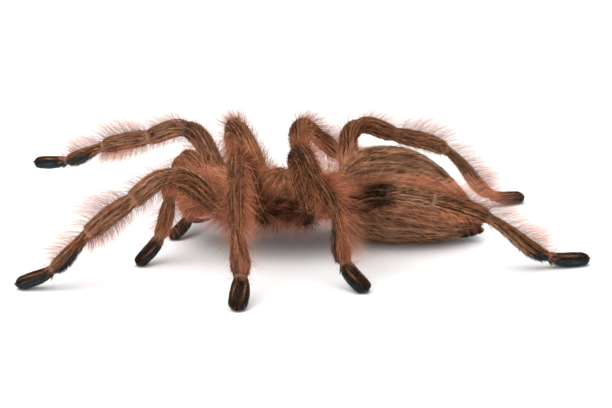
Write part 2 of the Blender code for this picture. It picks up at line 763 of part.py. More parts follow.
def lock_shape(root, start, finish, normal, length, width):
    """A flat blade with a low ridge that leaves the skin along start and bends over to finish."""

    def at(far):
        bend = max(far, 0.0) ** 2 / (2 * length)
        way = (start + (finish - start) * max(far, 0.0) / length).normalized()
        return root + start * far + (finish - start) * bend, way

    points, samples = [], []
    blade = [(-LOCK_SINK, LOCK_ROOT_WIDTH, 1.0)]
    blade += [(share * length, breadth, depth) for share, breadth, depth in LOCK_BLADE]
    for far, breadth, depth in blade:
        place, way = at(far)
        across = way.cross(normal).normalized()
        above = across.cross(way).normalized()
        half, thick = breadth * width / 2, depth * LOCK_THICKNESS
        points += [place - across * half - above * thick / 3, place + across * half - above * thick / 3]
        points.append(place + above * thick * 2 / 3)
    points.append(at(length)[0])
    faces = [(0, 1, 2)]
    for r in (0, 3):
        for k in range(3):
            a, b = r + k, r + (k + 1) % 3
            faces.append((a, a + 3, b + 3))
            faces.append((a, b + 3, b))
    faces += [(6 + k, 9, 6 + (k + 1) % 3) for k in range(3)]
    steps = max(4, round(length / LOCK_SPACE))
    for step in range(1, steps + 1):
        far = length * step / steps
        place, way = at(far)
        across = way.cross(normal).normalized()
        half = width / 2 * min(1.0, 1.35 * (1 - far / length) + 0.05)
        samples += [place - across * half, place, place + across * half]
    return points, faces, samples


def leg_hair(coat, name):
    """Rows of locks round each segment of a leg or palp, longest over its back and leaning to its foot."""
    table = PALP_HAIR if name.startswith("palp") else LEG_HAIR
    for kind, (curve, way) in leg_curves(name).items():
        if kind not in table:
            continue
        length, width, lean, shortest, rows = table[kind]
        across = level_side(way)
        for row, (along, count, turn) in enumerate(rows):
            place, heading = bezier(curve, along)
            upward = heading.cross(across).normalized()
            outward = upward.cross(heading).normalized()
            for k in range(count):
                share = (k + 0.5) / count - 0.5
                angle = math.radians(turn * share + (ROW_TWIST if row % 2 else -ROW_TWIST))
                fade = shortest + (1 - shortest) * (1 + math.cos(angle)) / 2
                ray = upward * math.cos(angle) + outward * math.sin(angle)
                coat.lay(f"{name}_{kind}", place, ray, heading, length * fade, width, lean)


def abdomen_hair(coat):
    """Tiers of locks that lie back along the abdomen, a little looser on its flanks."""
    length, width = ABDOMEN_LOCK
    root_lean, tip_lean = ABDOMEN_LEAN
    for tier, (behind, count) in enumerate(ABDOMEN_TIERS):
        for k in range(count):
            angle = math.radians(ABDOMEN_TURN * ((k + 0.5 + 0.25 * (-1) ** tier) / count - 0.5))
            flank = abs(math.sin(angle))
            inside = spot(-behind, 0, ABDOMEN_CORE_HEIGHT)
            ray = spot(0, math.sin(angle), math.cos(angle))
            lean = (root_lean + ABDOMEN_FLANK_LEAN * flank, tip_lean)
            lock_length = length + ABDOMEN_FLANK_LENGTH * flank
            coat.lay("abdomen", inside, ray, spot(-1, 0, -0.25), lock_length, width, lean)


def jaw_hair(coat):
    """Fluffy locks over each jaw, lying forward and curling down over its front."""
    length, width = JAW_LOCK
    for side_name, side in SIDES.items():
        for ahead, count in JAW_TIERS:
            for k in range(count):
                angle = math.radians(JAW_FIRST_TURN + JAW_TURN * (k + 0.5) / count)
                ray = spot(0, side * math.sin(angle), math.cos(angle))
                inside = spot(ahead, side * CHELICERA_OFF_MIDDLE, JAW_CORE_HEIGHT)
                coat.lay(f"chelicera_{side_name}", inside, ray, spot(1, 0, -0.2), length, width, JAW_LEAN)


def hip_hair(coat):
    """Tufts round the coxae: upright ones between legs and carapace, and short ones that hang beneath."""
    for name in LEG_POSES:
        curve, way = leg_curves(name)["coxa"]
        across = level_side(way)
        for along, turn, length in HIP_TUFTS:
            place, heading = bezier(curve, along)
            upward = heading.cross(across).normalized()
            outward = upward.cross(heading).normalized()
            angle = math.radians(turn)
            ray = upward * math.cos(angle) + outward * math.sin(angle)
            coat.lay("sternum_and_coxae", place, ray, heading, length, HIP_LOCK_WIDTH, HIP_LEAN)


def stand_on_middle(holder):
    """Moves the whole spider so that the middle of its outline on the floor is the origin."""
    bpy.context.view_layer.update()
    corners = [
        made.matrix_world @ vertex.co
        for made in bpy.context.scene.objects
        if made.type == "MESH"
        for vertex in made.data.vertices
    ]
    for axis in (0, 1):
        places = [corner[axis] for corner in corners]
        holder.location[axis] = -(min(places) + max(places)) / 2


def main():
    for old in list(bpy.data.objects):
        bpy.data.objects.remove(old)
    holder = bpy.data.objects.new("tarantula", None)
    bpy.context.scene.collection.objects.link(holder)
    carapace(holder)
    eye_tubercle(holder)
    for side_name, side in SIDES.items():
        chelicera(f"chelicera_{side_name}", side, holder)
        fang(f"fang_{side_name}", side, holder)
        spinneret(f"spinneret_{side_name}", side, holder)
    sternum_and_coxae(holder)
    for name in LEG_POSES:
        leg(name, holder)
    pedicel(holder)
    abdomen(holder)
    bpy.context.view_layer.update()
    nodes = [made for made in bpy.context.scene.objects if made.type == "MESH"]
    coat = Coat()
    for node in nodes:
        coat.add(node)
    for name in LEG_POSES:
        leg_hair(coat, name)
    jaw_hair(coat)
    hip_hair(coat)
    abdomen_hair(coat)
    for node in nodes:
        coat.fuse(node)
    stand_on_middle(holder)


main()
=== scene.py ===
"""Looks of the tarantula: one skin over its solids, a coat of solid hairs, and its eyes, fangs and claws.

The spider faces -X, its left side is towards -Y and up is +Z. Sizes are in millimetres until a mesh is made.
"""

from math import asin, cos, degrees, hypot, pi, radians, sin
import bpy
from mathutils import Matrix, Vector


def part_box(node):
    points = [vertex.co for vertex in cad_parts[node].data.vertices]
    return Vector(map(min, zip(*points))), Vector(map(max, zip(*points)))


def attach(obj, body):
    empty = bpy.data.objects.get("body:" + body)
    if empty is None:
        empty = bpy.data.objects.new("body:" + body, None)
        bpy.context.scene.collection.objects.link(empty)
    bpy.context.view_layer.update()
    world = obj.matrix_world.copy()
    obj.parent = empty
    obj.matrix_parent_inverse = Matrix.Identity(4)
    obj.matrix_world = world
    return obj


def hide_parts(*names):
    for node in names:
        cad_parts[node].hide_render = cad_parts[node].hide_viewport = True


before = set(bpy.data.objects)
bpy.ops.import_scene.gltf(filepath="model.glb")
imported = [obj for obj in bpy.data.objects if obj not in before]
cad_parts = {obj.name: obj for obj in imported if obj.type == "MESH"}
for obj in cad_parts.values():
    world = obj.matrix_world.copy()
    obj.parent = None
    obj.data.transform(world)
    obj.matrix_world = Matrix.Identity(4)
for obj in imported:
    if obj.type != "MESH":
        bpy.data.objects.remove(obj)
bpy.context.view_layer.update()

from types import SimpleNamespace

import bpy
import numpy as np
from mathutils import Vector
from mathutils.bvhtree import BVHTree
from mathutils.kdtree import KDTree

MM = 0.001
SIDES = {"left": 1, "right": -1}

# The photograph's view, worked out from the feet and joints in it.
CAMERA_RISE = 14.64
CAMERA_TURN = 0.85
CAMERA_DISTANCE = 457.1
CAMERA_AIM_HEIGHT = 8.58
CAMERA_AIM_AHEAD = -5.02
FOCAL_PIXELS = 2031.6
PICTURE_WIDTH = 612
SENSOR_WIDTH = 36.0

# The body's named sizes, as in the solids.
FLOOR_PRESS = 0.3
CARAPACE_LENGTH = 25.0
CARAPACE_WIDTH = 22.0
CARAPACE_MIDDLE = -0.5
CARAPACE_RIM_HEIGHT = 12.9
CARAPACE_CROWN = 3.9
CARAPACE_RIM_DEPTH = 1.2
CARAPACE_NARROWING = 0.16
CARAPACE_BLUNTNESS = 0.06
HEAD_SWELLING = (1.0, 6.5, 4.5, 4.0)
FOVEA_PIT = (1.1, -4.0, 1.8, 1.4)
GROOVE_COUNT = 8
GROOVE_DEPTH = 0.22
EYE_MOUND_AHEAD = 9.6
EYE_MOUND_HALF_SIZES = (1.5, 1.9, 1.7)
EYES = (
    (0.62, 0.55, 1.35, 0.42),
    (0.95, 1.25, 0.95, 0.38),
    (-0.55, 1.35, 0.98, 0.36),
    (-0.5, 0.85, 1.3, 0.3),
)
STERNUM_MIDDLE_HEIGHT = 9.1
STERNUM_HALF_SIZES = (9.0, 6.8, 3.4)
HIP_HEIGHT = 11.7
COXA_ROOT_HEIGHT = 9.3
BEND_EASE = 0.4
COXA_LENGTH = 9.0
ROOTS_AND_HIPS = {
    "palp": ((6.0, 3.0), (15.4, 7.8)),
    "leg_1": ((4.6, 4.4), (13.6, 13.8)),
    "leg_2": ((1.8, 5.2), (5.0, 16.0)),
    "leg_3": ((-1.8, 5.2), (-5.0, 16.0)),
    "leg_4": ((-5.0, 4.2), (-14.2, 13.0)),
}
LEG_KINDS = ("coxa", "femur", "patella", "tibia", "metatarsus", "tarsus")
PALP_KINDS = LEG_KINDS[:4] + LEG_KINDS[5:]
METATARSUS, TARSUS = 4, 5
SEGMENT_LENGTHS = {
    "palp": (11.2, 6.8, 8.2, 8.0),
    "leg_1": (16.8, 10.3, 12.1, 10.3, 8.1),
    "leg_2": (15.4, 9.3, 10.8, 10.5, 8.7),
    "leg_3": (13.8, 8.2, 9.6, 11.3, 8.0),
    "leg_4": (16.5, 8.9, 12.8, 16.2, 9.6),
}
SEGMENT_HALF_SIZES = {
    "coxa": (3.2, 3.1),
    "femur": (2.9, 2.5),
    "patella": (2.4, 2.25),
    "tibia": (2.25, 2.1),
    "metatarsus": (1.85, 2.3),
    "tarsus": (1.75, 2.35),
}
PALP_GIRTH = {"coxa": 0.82, "femur": 0.82, "patella": 0.84, "tibia": 0.92, "tarsus": 0.86}
SEGMENT_FULLNESS = {
    "coxa": ((0.0, 0.8), (0.4, 0.98), (0.8, 0.95), (1.0, 0.76)),
    "femur": ((0.0, 0.78), (0.14, 0.92), (0.5, 1.02), (0.86, 0.96), (1.0, 0.82)),
    "patella": ((0.0, 0.84), (0.15, 0.99), (0.52, 1.03), (0.88, 0.98), (1.0, 0.84)),
    "tibia": ((0.0, 0.84), (0.12, 1.0), (0.45, 1.04), (0.88, 0.96), (1.0, 0.78)),
    "metatarsus": ((0.0, 0.66), (0.14, 0.74), (0.45, 0.92), (0.78, 1.04), (1.0, 0.72)),
    "tarsus": ((0.0, 0.64), (0.12, 0.9), (0.5, 1.02), (0.88, 0.96), (1.0, 0.84)),
}
LEG_POSES = {
    "palp_left": ((12, 34), (84, -48), (36,), (47, -36)),
    "palp_right": ((42, 18), (92, -105), (-103,), (-61, -25)),
    "leg_1_left": ((42, 32), (34, -21), (32, -29), (15,), (1, -23)),
    "leg_1_right": ((51, 31), (22, -15), (18, -15), (15,), (11, -6)),
    "leg_2_left": ((61, 55), (86, -20), (91, -40), (99,), (85, -30)),
    "leg_2_right": ((64, 31), (80, -18), (92, -37), (88,), (86, -20)),
    "leg_3_left": ((66, 72), (121, -32), (117, -29), (129,), (128, -33)),
    "leg_3_right": ((84, 38), (124, -24), (136, -38), (137,), (137, -20)),
    "leg_4_left": ((124, 20), (184, -9), (187, -20), (185,), (196, -8)),
    "leg_4_right": ((105, 32), (176, -13), (179, -18), (170,), (150, -12)),
}
RAISED_FOOT = {"leg_1_right": 8.4}
PAD_STATIONS = ((0.0, 0.66), (0.12, 0.92), (0.5, 1.02), (0.88, 0.94), (1.0, 0.66))
ABDOMEN_STATIONS = (
    (12.6, 15.4, 6.4, 3.6),
    (13.6, 18.2, 3.0, 6.6),
    (15.8, 20.4, 1.0, 8.8),
    (19.0, 21.5, 0.1, 10.6),
    (23.0, 21.8, -0.3, 11.6),
    (27.6, 21.2, -0.3, 11.8),
    (32.0, 19.2, -0.2, 11.0),
    (36.0, 16.2, 0.2, 9.4),
    (39.4, 12.5, 0.9, 7.2),
    (41.8, 9.4, 1.9, 4.6),
    (43.0, 6.8, 3.0, 2.0),
)
PEDICEL_ENDS = (-8.5, -14.0)
PEDICEL_HEIGHT = 9.6
PEDICEL_HALF_SIZE = 1.5
CHELICERA_HALF_HEIGHT = 4.3
CHELICERA_HALF_WIDTH = 2.65
CHELICERA_OFF_MIDDLE = 2.85
CHELICERA_CURVE = ((10.8, 0.0, 10.6), (14.0, 0.0, 12.6), (18.8, 0.1, 12.6), (20.6, -0.1, 8.4))
CHELICERA_FULLNESS = (
    (0.0, 0.72), (0.2, 0.92), (0.42, 1.0), (0.62, 1.0), (0.8, 0.9), (0.93, 0.66), (1.0, 0.4),
)
CHELICERA_LEAST_WIDTH = 0.35
FANG_CURVE = ((21.2, 2.65, 7.6), (21.6, 2.65, 5.2), (18.8, 2.65, 5.0), (15.6, 2.05, 6.1))
FANG_HALF_SIZES = ((0.0, 1.0), (0.25, 0.88), (0.5, 0.66), (0.75, 0.42), (1.0, 0.06))
SPINNERET_CURVE = ((-39.6, 1.7, 2.0), (-41.6, 1.8, 2.1), (-43.2, 1.9, 2.5), (-44.8, 2.1, 3.0))
SPINNERET_HALF_SIZES = (
    (0.0, 1.0), (0.3, 1.12), (0.36, 0.92), (0.42, 1.0), (0.62, 1.0), (0.68, 0.8), (0.74, 0.88), (1.0, 0.74),
)
SHORT_SPINNERET_CURVE = ((-40.4, 0.7, 2.2), (-42.0, 0.75, 2.2), (-43.0, 0.8, 2.3), (-44.0, 0.9, 2.5))
SHORT_SPINNERET_HALF_SIZES = ((0.0, 0.5), (0.7, 0.42), (1.0, 0.25))

# How far the skin lies inside the coat's short fur.
COAT_DEPTH = {"coxa": 0.5, "femur": 0.5, "patella": 0.45, "tibia": 0.45, "metatarsus": 0.4, "tarsus": 0.3}
BODY_DEPTH = 0.5
EYE_MOUND_DEPTH = 0.15
FLOOR_FILM = 0.12
VOXEL = 0.34
ROW_STEP = 0.7
LEAST_ROW_STEP = 0.2
LEG_COLUMNS = 28
CARAPACE_COLUMNS = 80
HAIR_SINK = 0.25
HAIR_FLOOR = 0.03
ROOT_FLOOR = 0.18
ROOT_REACH = 0.5
PATCH_WIDTH = 0.003


def spot(forward, left, up):
    """A point or direction from the spider's own axes."""
    return np.array((-forward, -left, up), dtype=float)


UPWARD = spot(0, 0, 1)


def clamp(values):
    return np.clip(values, 0, 1)


def unit(vectors):
    return vectors / np.maximum(np.linalg.norm(vectors, axis=-1, keepdims=True), 1e-9)


# Where the spider's own origin is in the frame, in metres.
first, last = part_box("carapace")
ORIGIN = Vector(((first[0] + last[0]) / 2 + CARAPACE_MIDDLE * MM, (first[1] + last[1]) / 2, 0))


def added(name, data):
    made = bpy.data.objects.new(name, data)
    bpy.context.scene.collection.objects.link(made)
    return made


def camera():
    """The photograph's view, from the spider's left side and a little above it."""
    rise, turn = radians(CAMERA_RISE), radians(CAMERA_TURN)
    forward = Vector((-cos(turn), sin(turn), 0))
    back = Vector((-sin(turn) * cos(rise), -cos(turn) * cos(rise), sin(rise)))
    aim = ORIGIN + forward * CAMERA_AIM_AHEAD * MM + Vector((0, 0, CAMERA_AIM_HEIGHT * MM))
    data = bpy.data.cameras.new("camera")
    data.sensor_width = SENSOR_WIDTH
    data.lens = SENSOR_WIDTH * FOCAL_PIXELS / PICTURE_WIDTH
    data.clip_start = 0.01
    data.clip_end = 20.0
    made = added("camera", data)
    made.location = aim + back * CAMERA_DISTANCE * MM
    made.rotation_euler = back.to_track_quat("Z", "Y").to_euler()
    bpy.context.scene.camera = made


camera()


class Tone:
    """A number or colour inside a finish. Sums and products of tones add the nodes they need."""

    def __init__(self, finish, socket):
        self.finish = finish
        self.socket = socket

    def sum_with(self, operation, first, second):
        return self.finish.add("ShaderNodeMath", {"operation": operation}, {0: first, 1: second})

    def __add__(self, other):
        return self.sum_with("ADD", self, other)

    __radd__ = __add__

    def __rsub__(self, other):
        return self.sum_with("SUBTRACT", other, self)

    def __mul__(self, other):
        return self.sum_with("MULTIPLY", self, other)

    __rmul__ = __mul__


class Finish:
    """One material. Further nodes come from add, and what varies is given to shade."""

    def __init__(self, name, **constants):
        self.material = bpy.data.materials.new(name)
        self.material.use_nodes = True
        self.tree = self.material.node_tree
        self.shader = self.tree.nodes["Principled BSDF"]
        self.shade(**constants)

    def feed(self, socket, value):
        if isinstance(value, Tone):
            self.tree.links.new(value.socket, socket)
        elif isinstance(value, tuple) and socket.type == "RGBA":
            socket.default_value = (*value, 1.0)
        else:
            socket.default_value = value

    def add(self, kind, settings, inputs, output=0):
        node = self.tree.nodes.new(kind)
        for key, value in settings.items():
            setattr(node, key, value)
        for key, value in inputs.items():
            self.feed(node.inputs[key], value)
        return Tone(self, node.outputs[output])

    def three_of(self, name):
        """The three numbers that each point of the mesh holds under a name."""
        held = self.add("ShaderNodeAttribute", {"attribute_name": name}, {}, "Vector")
        return [self.add("ShaderNodeSeparateXYZ", {}, {0: held}, k) for k in range(3)]

    def blend(self, factor, first, second):
        settings = {"data_type": "RGBA", "clamp_factor": True}
        return self.add("ShaderNodeMix", settings, {0: factor, 6: first, 7: second}, 2)

    def scaled(self, colour, amount):
        return self.add("ShaderNodeVectorMath", {"operation": "SCALE"}, {0: colour, "Scale": amount})

    def noise(self, scale, detail=2.0, stretch=(1, 1, 1)):
        place = self.add("ShaderNodeTexCoord", {}, {}, "Object")
        place = self.add("ShaderNodeVectorMath", {"operation": "MULTIPLY"}, {0: place, 1: stretch})
        return self.add("ShaderNodeTexNoise", {}, {"Vector": place, "Scale": scale, "Detail": detail})

    def shade(self, **inputs):
        for key, value in inputs.items():
            self.feed(self.shader.inputs[key.replace("_", " ")], value)
        return self.material


BROWN = (0.275, 0.130, 0.054)
RUST = (0.60, 0.165, 0.055)
DARK = (0.017, 0.0075, 0.0034)
PALE = (0.56, 0.31, 0.19)
PAD = (0.046, 0.064, 0.071)
# Painted sheen: the pale colour that lighter hairs are blended toward, standing in for highlights on the
# hair.
PAINTED_SHEEN = (0.66, 0.44, 0.30)
ROSE_ROOT = (0.52, 0.150, 0.062)
# The long hairs' rosy tips: partly their own colour and partly a painted glow of light shining through them.
ROSE_TIP_AND_GLOW = (0.86, 0.33, 0.19)
HORN, HORN_EDGE = (0.012, 0.006, 0.005), (0.08, 0.02, 0.012)
EYE, EYE_EDGE = (0.006, 0.005, 0.005), (0.03, 0.018, 0.014)
FLOOR_WHITE = (0.93, 0.93, 0.93)


def pelt_colour(finish):
    """The colour that each point's marks give to skin and coat."""
    dark, rust, pale = finish.three_of("marks")
    pad = finish.add("ShaderNodeAttribute", {"attribute_name": "marks"}, {}, "Alpha")
    colour = finish.blend(rust, BROWN, RUST)
    colour = finish.blend(dark, colour, DARK)
    colour = finish.blend(pale, colour, PALE)
    return finish.blend(pad, colour, PAD)


def skin_finish():
    finish = Finish("skin", Roughness=0.7, Specular_IOR_Level=0.2)
    patches = finish.noise(260.0, 3.0)
    grain = finish.noise(2600.0, 2.0)
    bare = finish.three_of("marks")[2]
    # The skin is a darker copy of the pelt colour: partly its own dark cuticle and partly painted shade
    # between the hairs. The pale mark lifts it.
    colour = finish.scaled(pelt_colour(finish), 0.2 + 0.3 * patches + 0.6 * bare)
    normal = finish.add("ShaderNodeBump", {}, {"Height": grain, "Distance": 0.0002, "Strength": 0.6})
    return finish.shade(Base_Color=colour, Roughness=0.55 + 0.3 * grain, Normal=normal)


def coat_finish():
    """Hair: its place's own colour, darker at its root, with rosier tips on the long ones that are partly a
    painted glow, and a painted sheen on the lighter strands.
    """
    finish = Finish("coat", Roughness=0.5, Specular_IOR_Level=0.04)
    tip, tint, rosy = finish.three_of("strand")
    rose = finish.blend(tip, ROSE_ROOT, ROSE_TIP_AND_GLOW)
    colour = finish.blend(rosy, pelt_colour(finish), rose)
    # Lighter strands are blended toward the painted sheen and brightened: partly their own tone and partly
    # painted highlights.
    colour = finish.blend(0.2 * tint, colour, PAINTED_SHEEN)
    colour = finish.scaled(colour, (0.87 + 0.71 * tint) * (0.5 + 0.76 * tip))
    return finish.shade(Base_Color=colour, Roughness=0.66 - 0.16 * tip)


def horn_finish(name, colour, edge, roughness):
    """Polished horn with redder streaks."""
    finish = Finish(name, Roughness=roughness)
    streak = finish.noise(900.0, 2.0, (0.3, 1, 1))
    shade = finish.blend(streak, colour, edge)
    return finish.shade(Base_Color=shade, Roughness=roughness + 0.12 * streak)


def bezier(points, t):
    """Places and directions at t on a cubic curve."""
    a, b, c, d = (np.asarray(p) for p in points)
    t = np.atleast_1d(t)[:, None]
    s = 1 - t
    place = a * s**3 + b * (3 * s * s * t) + c * (3 * s * t * t) + d * t**3
    way = (b - a) * (s * s) + (c - b) * (2 * s * t) + (d - c) * (t * t)
    return place, unit(way)


def side_curve(places, side):
    """A curve's points on either side, from those of the left side."""
    return [spot(ahead, side * out, up) for ahead, out, up in places]


def turns(columns):
    """Turns from the top round a ring, in radians from -pi to pi."""
    around = 2 * pi * np.arange(columns) / columns
    return np.where(around > pi, around - 2 * pi, around)


def closing(t, start, length, most=0.97):
    """How a tube rounds off to its tip over the last share of its length."""
    return np.sqrt(1 - np.clip((t - start) / length, 0, most) ** 2)


def girth_of(name, kind):
    return PALP_GIRTH[kind] if name.startswith("palp") else 1.0


def direction(turn, rise, side):
    turn, rise = radians(turn), radians(rise)
    return spot(cos(turn) * cos(rise), side * sin(turn) * cos(rise), sin(rise))


def ankle_height(rise, length, half_height):
    """The height of the tarsus's upper end that presses its pad a little into the floor."""
    slope = -radians(rise)
    reach = max(t * length * sin(slope) + half_height * full * cos(slope) for t, full in PAD_STATIONS)
    return reach - FLOOR_PRESS


def known_lengths(leg):
    """The length of each segment of a leg or palp, from its coxa on."""
    kinds = PALP_KINDS if leg == "palp" else LEG_KINDS
    return dict(zip(kinds, (COXA_LENGTH, *SEGMENT_LENGTHS[leg])))


def leg_curves(name):
    """A cubic curve for each segment, as in the solids but with no gaps between them."""
    leg, side_name = name.rsplit("_", 1)
    side = SIDES[side_name]
    pose, lengths = LEG_POSES[name], SEGMENT_LENGTHS[leg]
    half_height = SEGMENT_HALF_SIZES["tarsus"][0] * girth_of(name, "tarsus")
    ankle = ankle_height(pose[-1][1], lengths[-1], half_height) + RAISED_FOOT.get(name, 0.0)
    (root_ahead, root_out), (hip_ahead, hip_out) = ROOTS_AND_HIPS[leg]
    root = spot(root_ahead, side * root_out, COXA_ROOT_HEIGHT)
    hip = spot(hip_ahead, side * hip_out, HIP_HEIGHT)
    ends, ways = [root, hip], [unit(hip - root)]
    for length, (turn, *rises) in zip(lengths, pose):
        rise = rises[0] if rises else degrees(asin((ankle - ends[-1][2]) / length))
        ways.append(direction(turn, rise, side))
        ends.append(ends[-1] + ways[-1] * length)
    bends = [ways[0], *(unit(ways[k] + ways[k + 1]) for k in range(len(ways) - 1)), ways[-1]]
    curves = {}
    for k, kind in enumerate(known_lengths(leg)):
        start, end = ends[k], ends[k + 1]
        handle = np.linalg.norm(end - start) * BEND_EASE
        curves[kind] = (start, start + bends[k] * handle, end - bends[k + 1] * handle, end)
    return curves


def between(grid, rows, columns, down, over):
    """Values between the points of a grid whose last column meets its first."""
    following = (columns + 1) % grid.shape[1]
    top = grid[rows, columns] * (1 - over) + grid[rows, following] * over
    low = grid[rows + 1, columns] * (1 - over) + grid[rows + 1, following] * over
    return top * (1 - down) + low * down


class Skin:
    """A stretch of skin as rings of points from its root to its tip, with what its hair needs to know.

    kind, share and around say for each point which segment it is on, how far along that, and its turn from
    the top in radians, where a positive turn is to the side that faces the spider's rear.
    """

    def __init__(self, points, kind, share, around, island, marks):
        self.points = points
        self.lie = unit(np.gradient(points, axis=0))
        across = np.roll(points, -1, axis=1) - np.roll(points, 1, axis=1)
        normal = unit(np.cross(across, self.lie))
        if (normal * (points - points.mean(axis=1, keepdims=True))).sum() < 0:
            normal = -normal
        self.normal = normal
        shape = points.shape[:2]
        low_u, low_v, high_u, high_v = island
        step = np.linalg.norm(np.diff(points.mean(axis=1), axis=0), axis=1) + LEAST_ROW_STEP
        far = np.concatenate(([0], np.cumsum(step))) / step.sum()
        turn = np.arange(shape[1]) / shape[1]
        down = kind, share, low_u + (high_u - low_u) * far
        over = around, low_v + (high_v - low_v) * turn
        self.kind, self.share, self.u = (np.broadcast_to(np.asarray(each)[:, None], shape) for each in down)
        self.around, self.v = (np.broadcast_to(each, shape) for each in over)
        self.pattern = marks
        self.marks = marks(self.kind, self.share, self.around)

    def cell_areas(self):
        along = self.points[1:] - self.points[:-1]
        round_it = np.roll(self.points, -1, axis=1) - self.points
        return np.linalg.norm(np.cross(along, round_it[:-1]), axis=-1)

    def at(self, rows, columns, down, over):
        """What is known at places given by cells and the shares across them."""
        cell = rows, columns
        share = down[:, None], over[:, None]
        around = self.around[cell] + over * (2 * pi / self.points.shape[1])
        return SimpleNamespace(
            root=between(self.points, *cell, *share),
            normal=unit(between(self.normal, *cell, *share)),
            lie=unit(between(self.lie, *cell, *share)),
            kind=self.kind[cell],
            share=between(self.share, *cell, down, 0),
            around=around,
            top=np.cos(around),
            u=between(self.u, *cell, down, 0),
            v=self.v[cell] + over * abs(self.v[0, 1] - self.v[0, 0]),
        )

    def loft(self):
        """Points and faces of the closed tube through the rings."""
        rows, columns = self.points.shape[:2]
        points = self.points.copy()
        points[..., 2] = np.maximum(points[..., 2], FLOOR_FILM)
        index = np.arange(rows * columns).reshape(rows, columns)
        following = np.roll(index, -1, axis=1)
        quads = np.stack([index[:-1], following[:-1], following[1:], index[1:]], axis=-1).reshape(-1, 4)
        faces = [*map(tuple, quads), tuple(index[0][::-1]), tuple(index[-1])]
        return points.reshape(-1, 3), faces


def bell(value, middle, width):
    return np.exp(-(((value - middle) / width) ** 2))


def marking(dark, rust, pale, pad=0.0):
    """How much of each mark each point has, from 0 to 1."""
    return clamp(np.stack(np.broadcast_arrays(dark, rust, pale, pad), axis=-1))


def streaks(along, around, count, seed, lengths=3):
    """Fine streaks between -1 and 1, drawn out along the lie of the coat."""
    table = np.random.default_rng(seed).uniform(-1, 1, (lengths + 1, count))
    row = np.clip(along, 0, 0.999) * lengths
    column = (around / (2 * pi)) % 1.0 * count
    down, over = row - row.astype(int), column - column.astype(int)
    return between(table, row.astype(int), column.astype(int) % count, down, over * over * (3 - 2 * over))


# How dark and how pale the coat is from coxa to tarsus, where the photograph shows it. The segments differ
# in the coat's own colour. Where one leg or one side is darker or paler than another, that difference is
# painted shade and painted light.
DARK_COAT_AND_SHADE = {
    "palp": (0, 0.2, 0, 0, 0, 0),
    "palp_right": (0, 0.2, 0, 0, 0, 0.7),
    "leg_1": (0, 0.06, 0, 0, 0, 0),
    "leg_2": (0, 0.3, 0, 0.06, 0.18, 0),
    "leg_3": (0, 0.5, 0.28, 0.08, 0.32, 0),
    "leg_4": (0, 0.78, 0, 0, 0, 0),
    "leg_1_right": (0, 0.75, 0, 0, 0, 0),
    "leg_4_right": (0, 0.6, 0, 0, 0, 0),
}
PALE_COAT_AND_LIGHT = {
    "palp": (0, 0, 0.1, 0.32, 0, 0),
    "leg_1": (0, 0.2, 0.48, 0.56, 0.14, 0),
    "leg_2": (0, 0, 0.12, 0.05, 0.14, 0),
    "leg_3": (0, 0, 0, 0, 0.06, 0),
    "leg_4": (0, 0, 0.42, 0.1, 0.15, 0),
    "leg_4_right": (0, 0, 0.14, 0.42, 0.26, 0),
}
RING_WIDTH = 0.3
RING_STRENGTHS = (0.03, 0.05, 0.08, 0.12, 0.34)


def leg_marks(name):
    """Fine stripes, pale rings at the joints, dark feet with two pale lines, and slate pads beneath."""
    leg = name.rsplit("_", 1)[0]
    seed = 100 + list(LEG_POSES).index(name)
    edge = 0.07 if leg == "palp" else 0.28
    start = 0.7 if leg == "leg_4" else 0.2
    rusty = 0.75 if leg == "leg_1" else 0.35
    dark_coat_and_shade, pale_coat_and_light = (np.array(table.get(name, table[leg])) for table in (DARK_COAT_AND_SHADE, PALE_COAT_AND_LIGHT))
    length = known_lengths(leg)
    kinds = list(length)

    def marks(kind, share, around):
        under = (1 - np.cos(around)) / 2
        rear = clamp(np.sin(around))
        here = {name: (kind == k).astype(float) for k, name in enumerate(LEG_KINDS)}
        coxa, femur, patella, tibia, metatarsus, tarsus = here.values()
        stripe = 0.6 * streaks(share, around, 40, seed, 2) + 0.45 * np.cos(16 * around)
        middle = femur + patella + tibia + metatarsus
        # The coxae are dark, and darker beneath, where the extra darkness is painted shade under the body.
        # The table adds each leg's own darkness and its painted shade.
        dark = coxa * (0.4 + 0.45 * under) + dark_coat_and_shade[kind]
        dark = dark + middle * (0.14 + 0.85 * stripe) + metatarsus * 0.3 * clamp(share - 0.4)
        lines = bell(np.abs(around), 0.6, 0.17) * bell(share, 0.45, 0.42)
        dark = dark + tarsus * (1 - 0.72 * lines)
        dark = dark + metatarsus * 0.5 * bell(under, 0.3, 0.1) * clamp((share - 0.25) * 5)
        warm = 0.12 + 0.3 * under + 0.25 * rear
        rust = coxa * 0.35 + femur * warm + (patella + tibia) * (warm - 0.25 * stripe)
        rust = rust + metatarsus * (0.12 + rusty * bell(share, 0.24, 0.14) * (1 - under))
        ring = np.zeros_like(share)
        for before, after, strength in zip(kinds, kinds[1:], RING_STRENGTHS):
            near = here[before] * bell((1 - share) * length[before], 0.0, RING_WIDTH)
            near = near + here[after] * bell(share * length[after], 0.0, RING_WIDTH)
            ring = ring + strength * near
        pale = ring + pale_coat_and_light[kind]
        pad = tarsus * clamp((under - edge) * 7)
        upper = clamp((under - 0.34) * 8) * clamp((share - start) * 10)
        pad = (pad + metatarsus * upper) * (1 - ring)
        return marking(dark * (1 - ring), rust, pale, pad)

    return marks


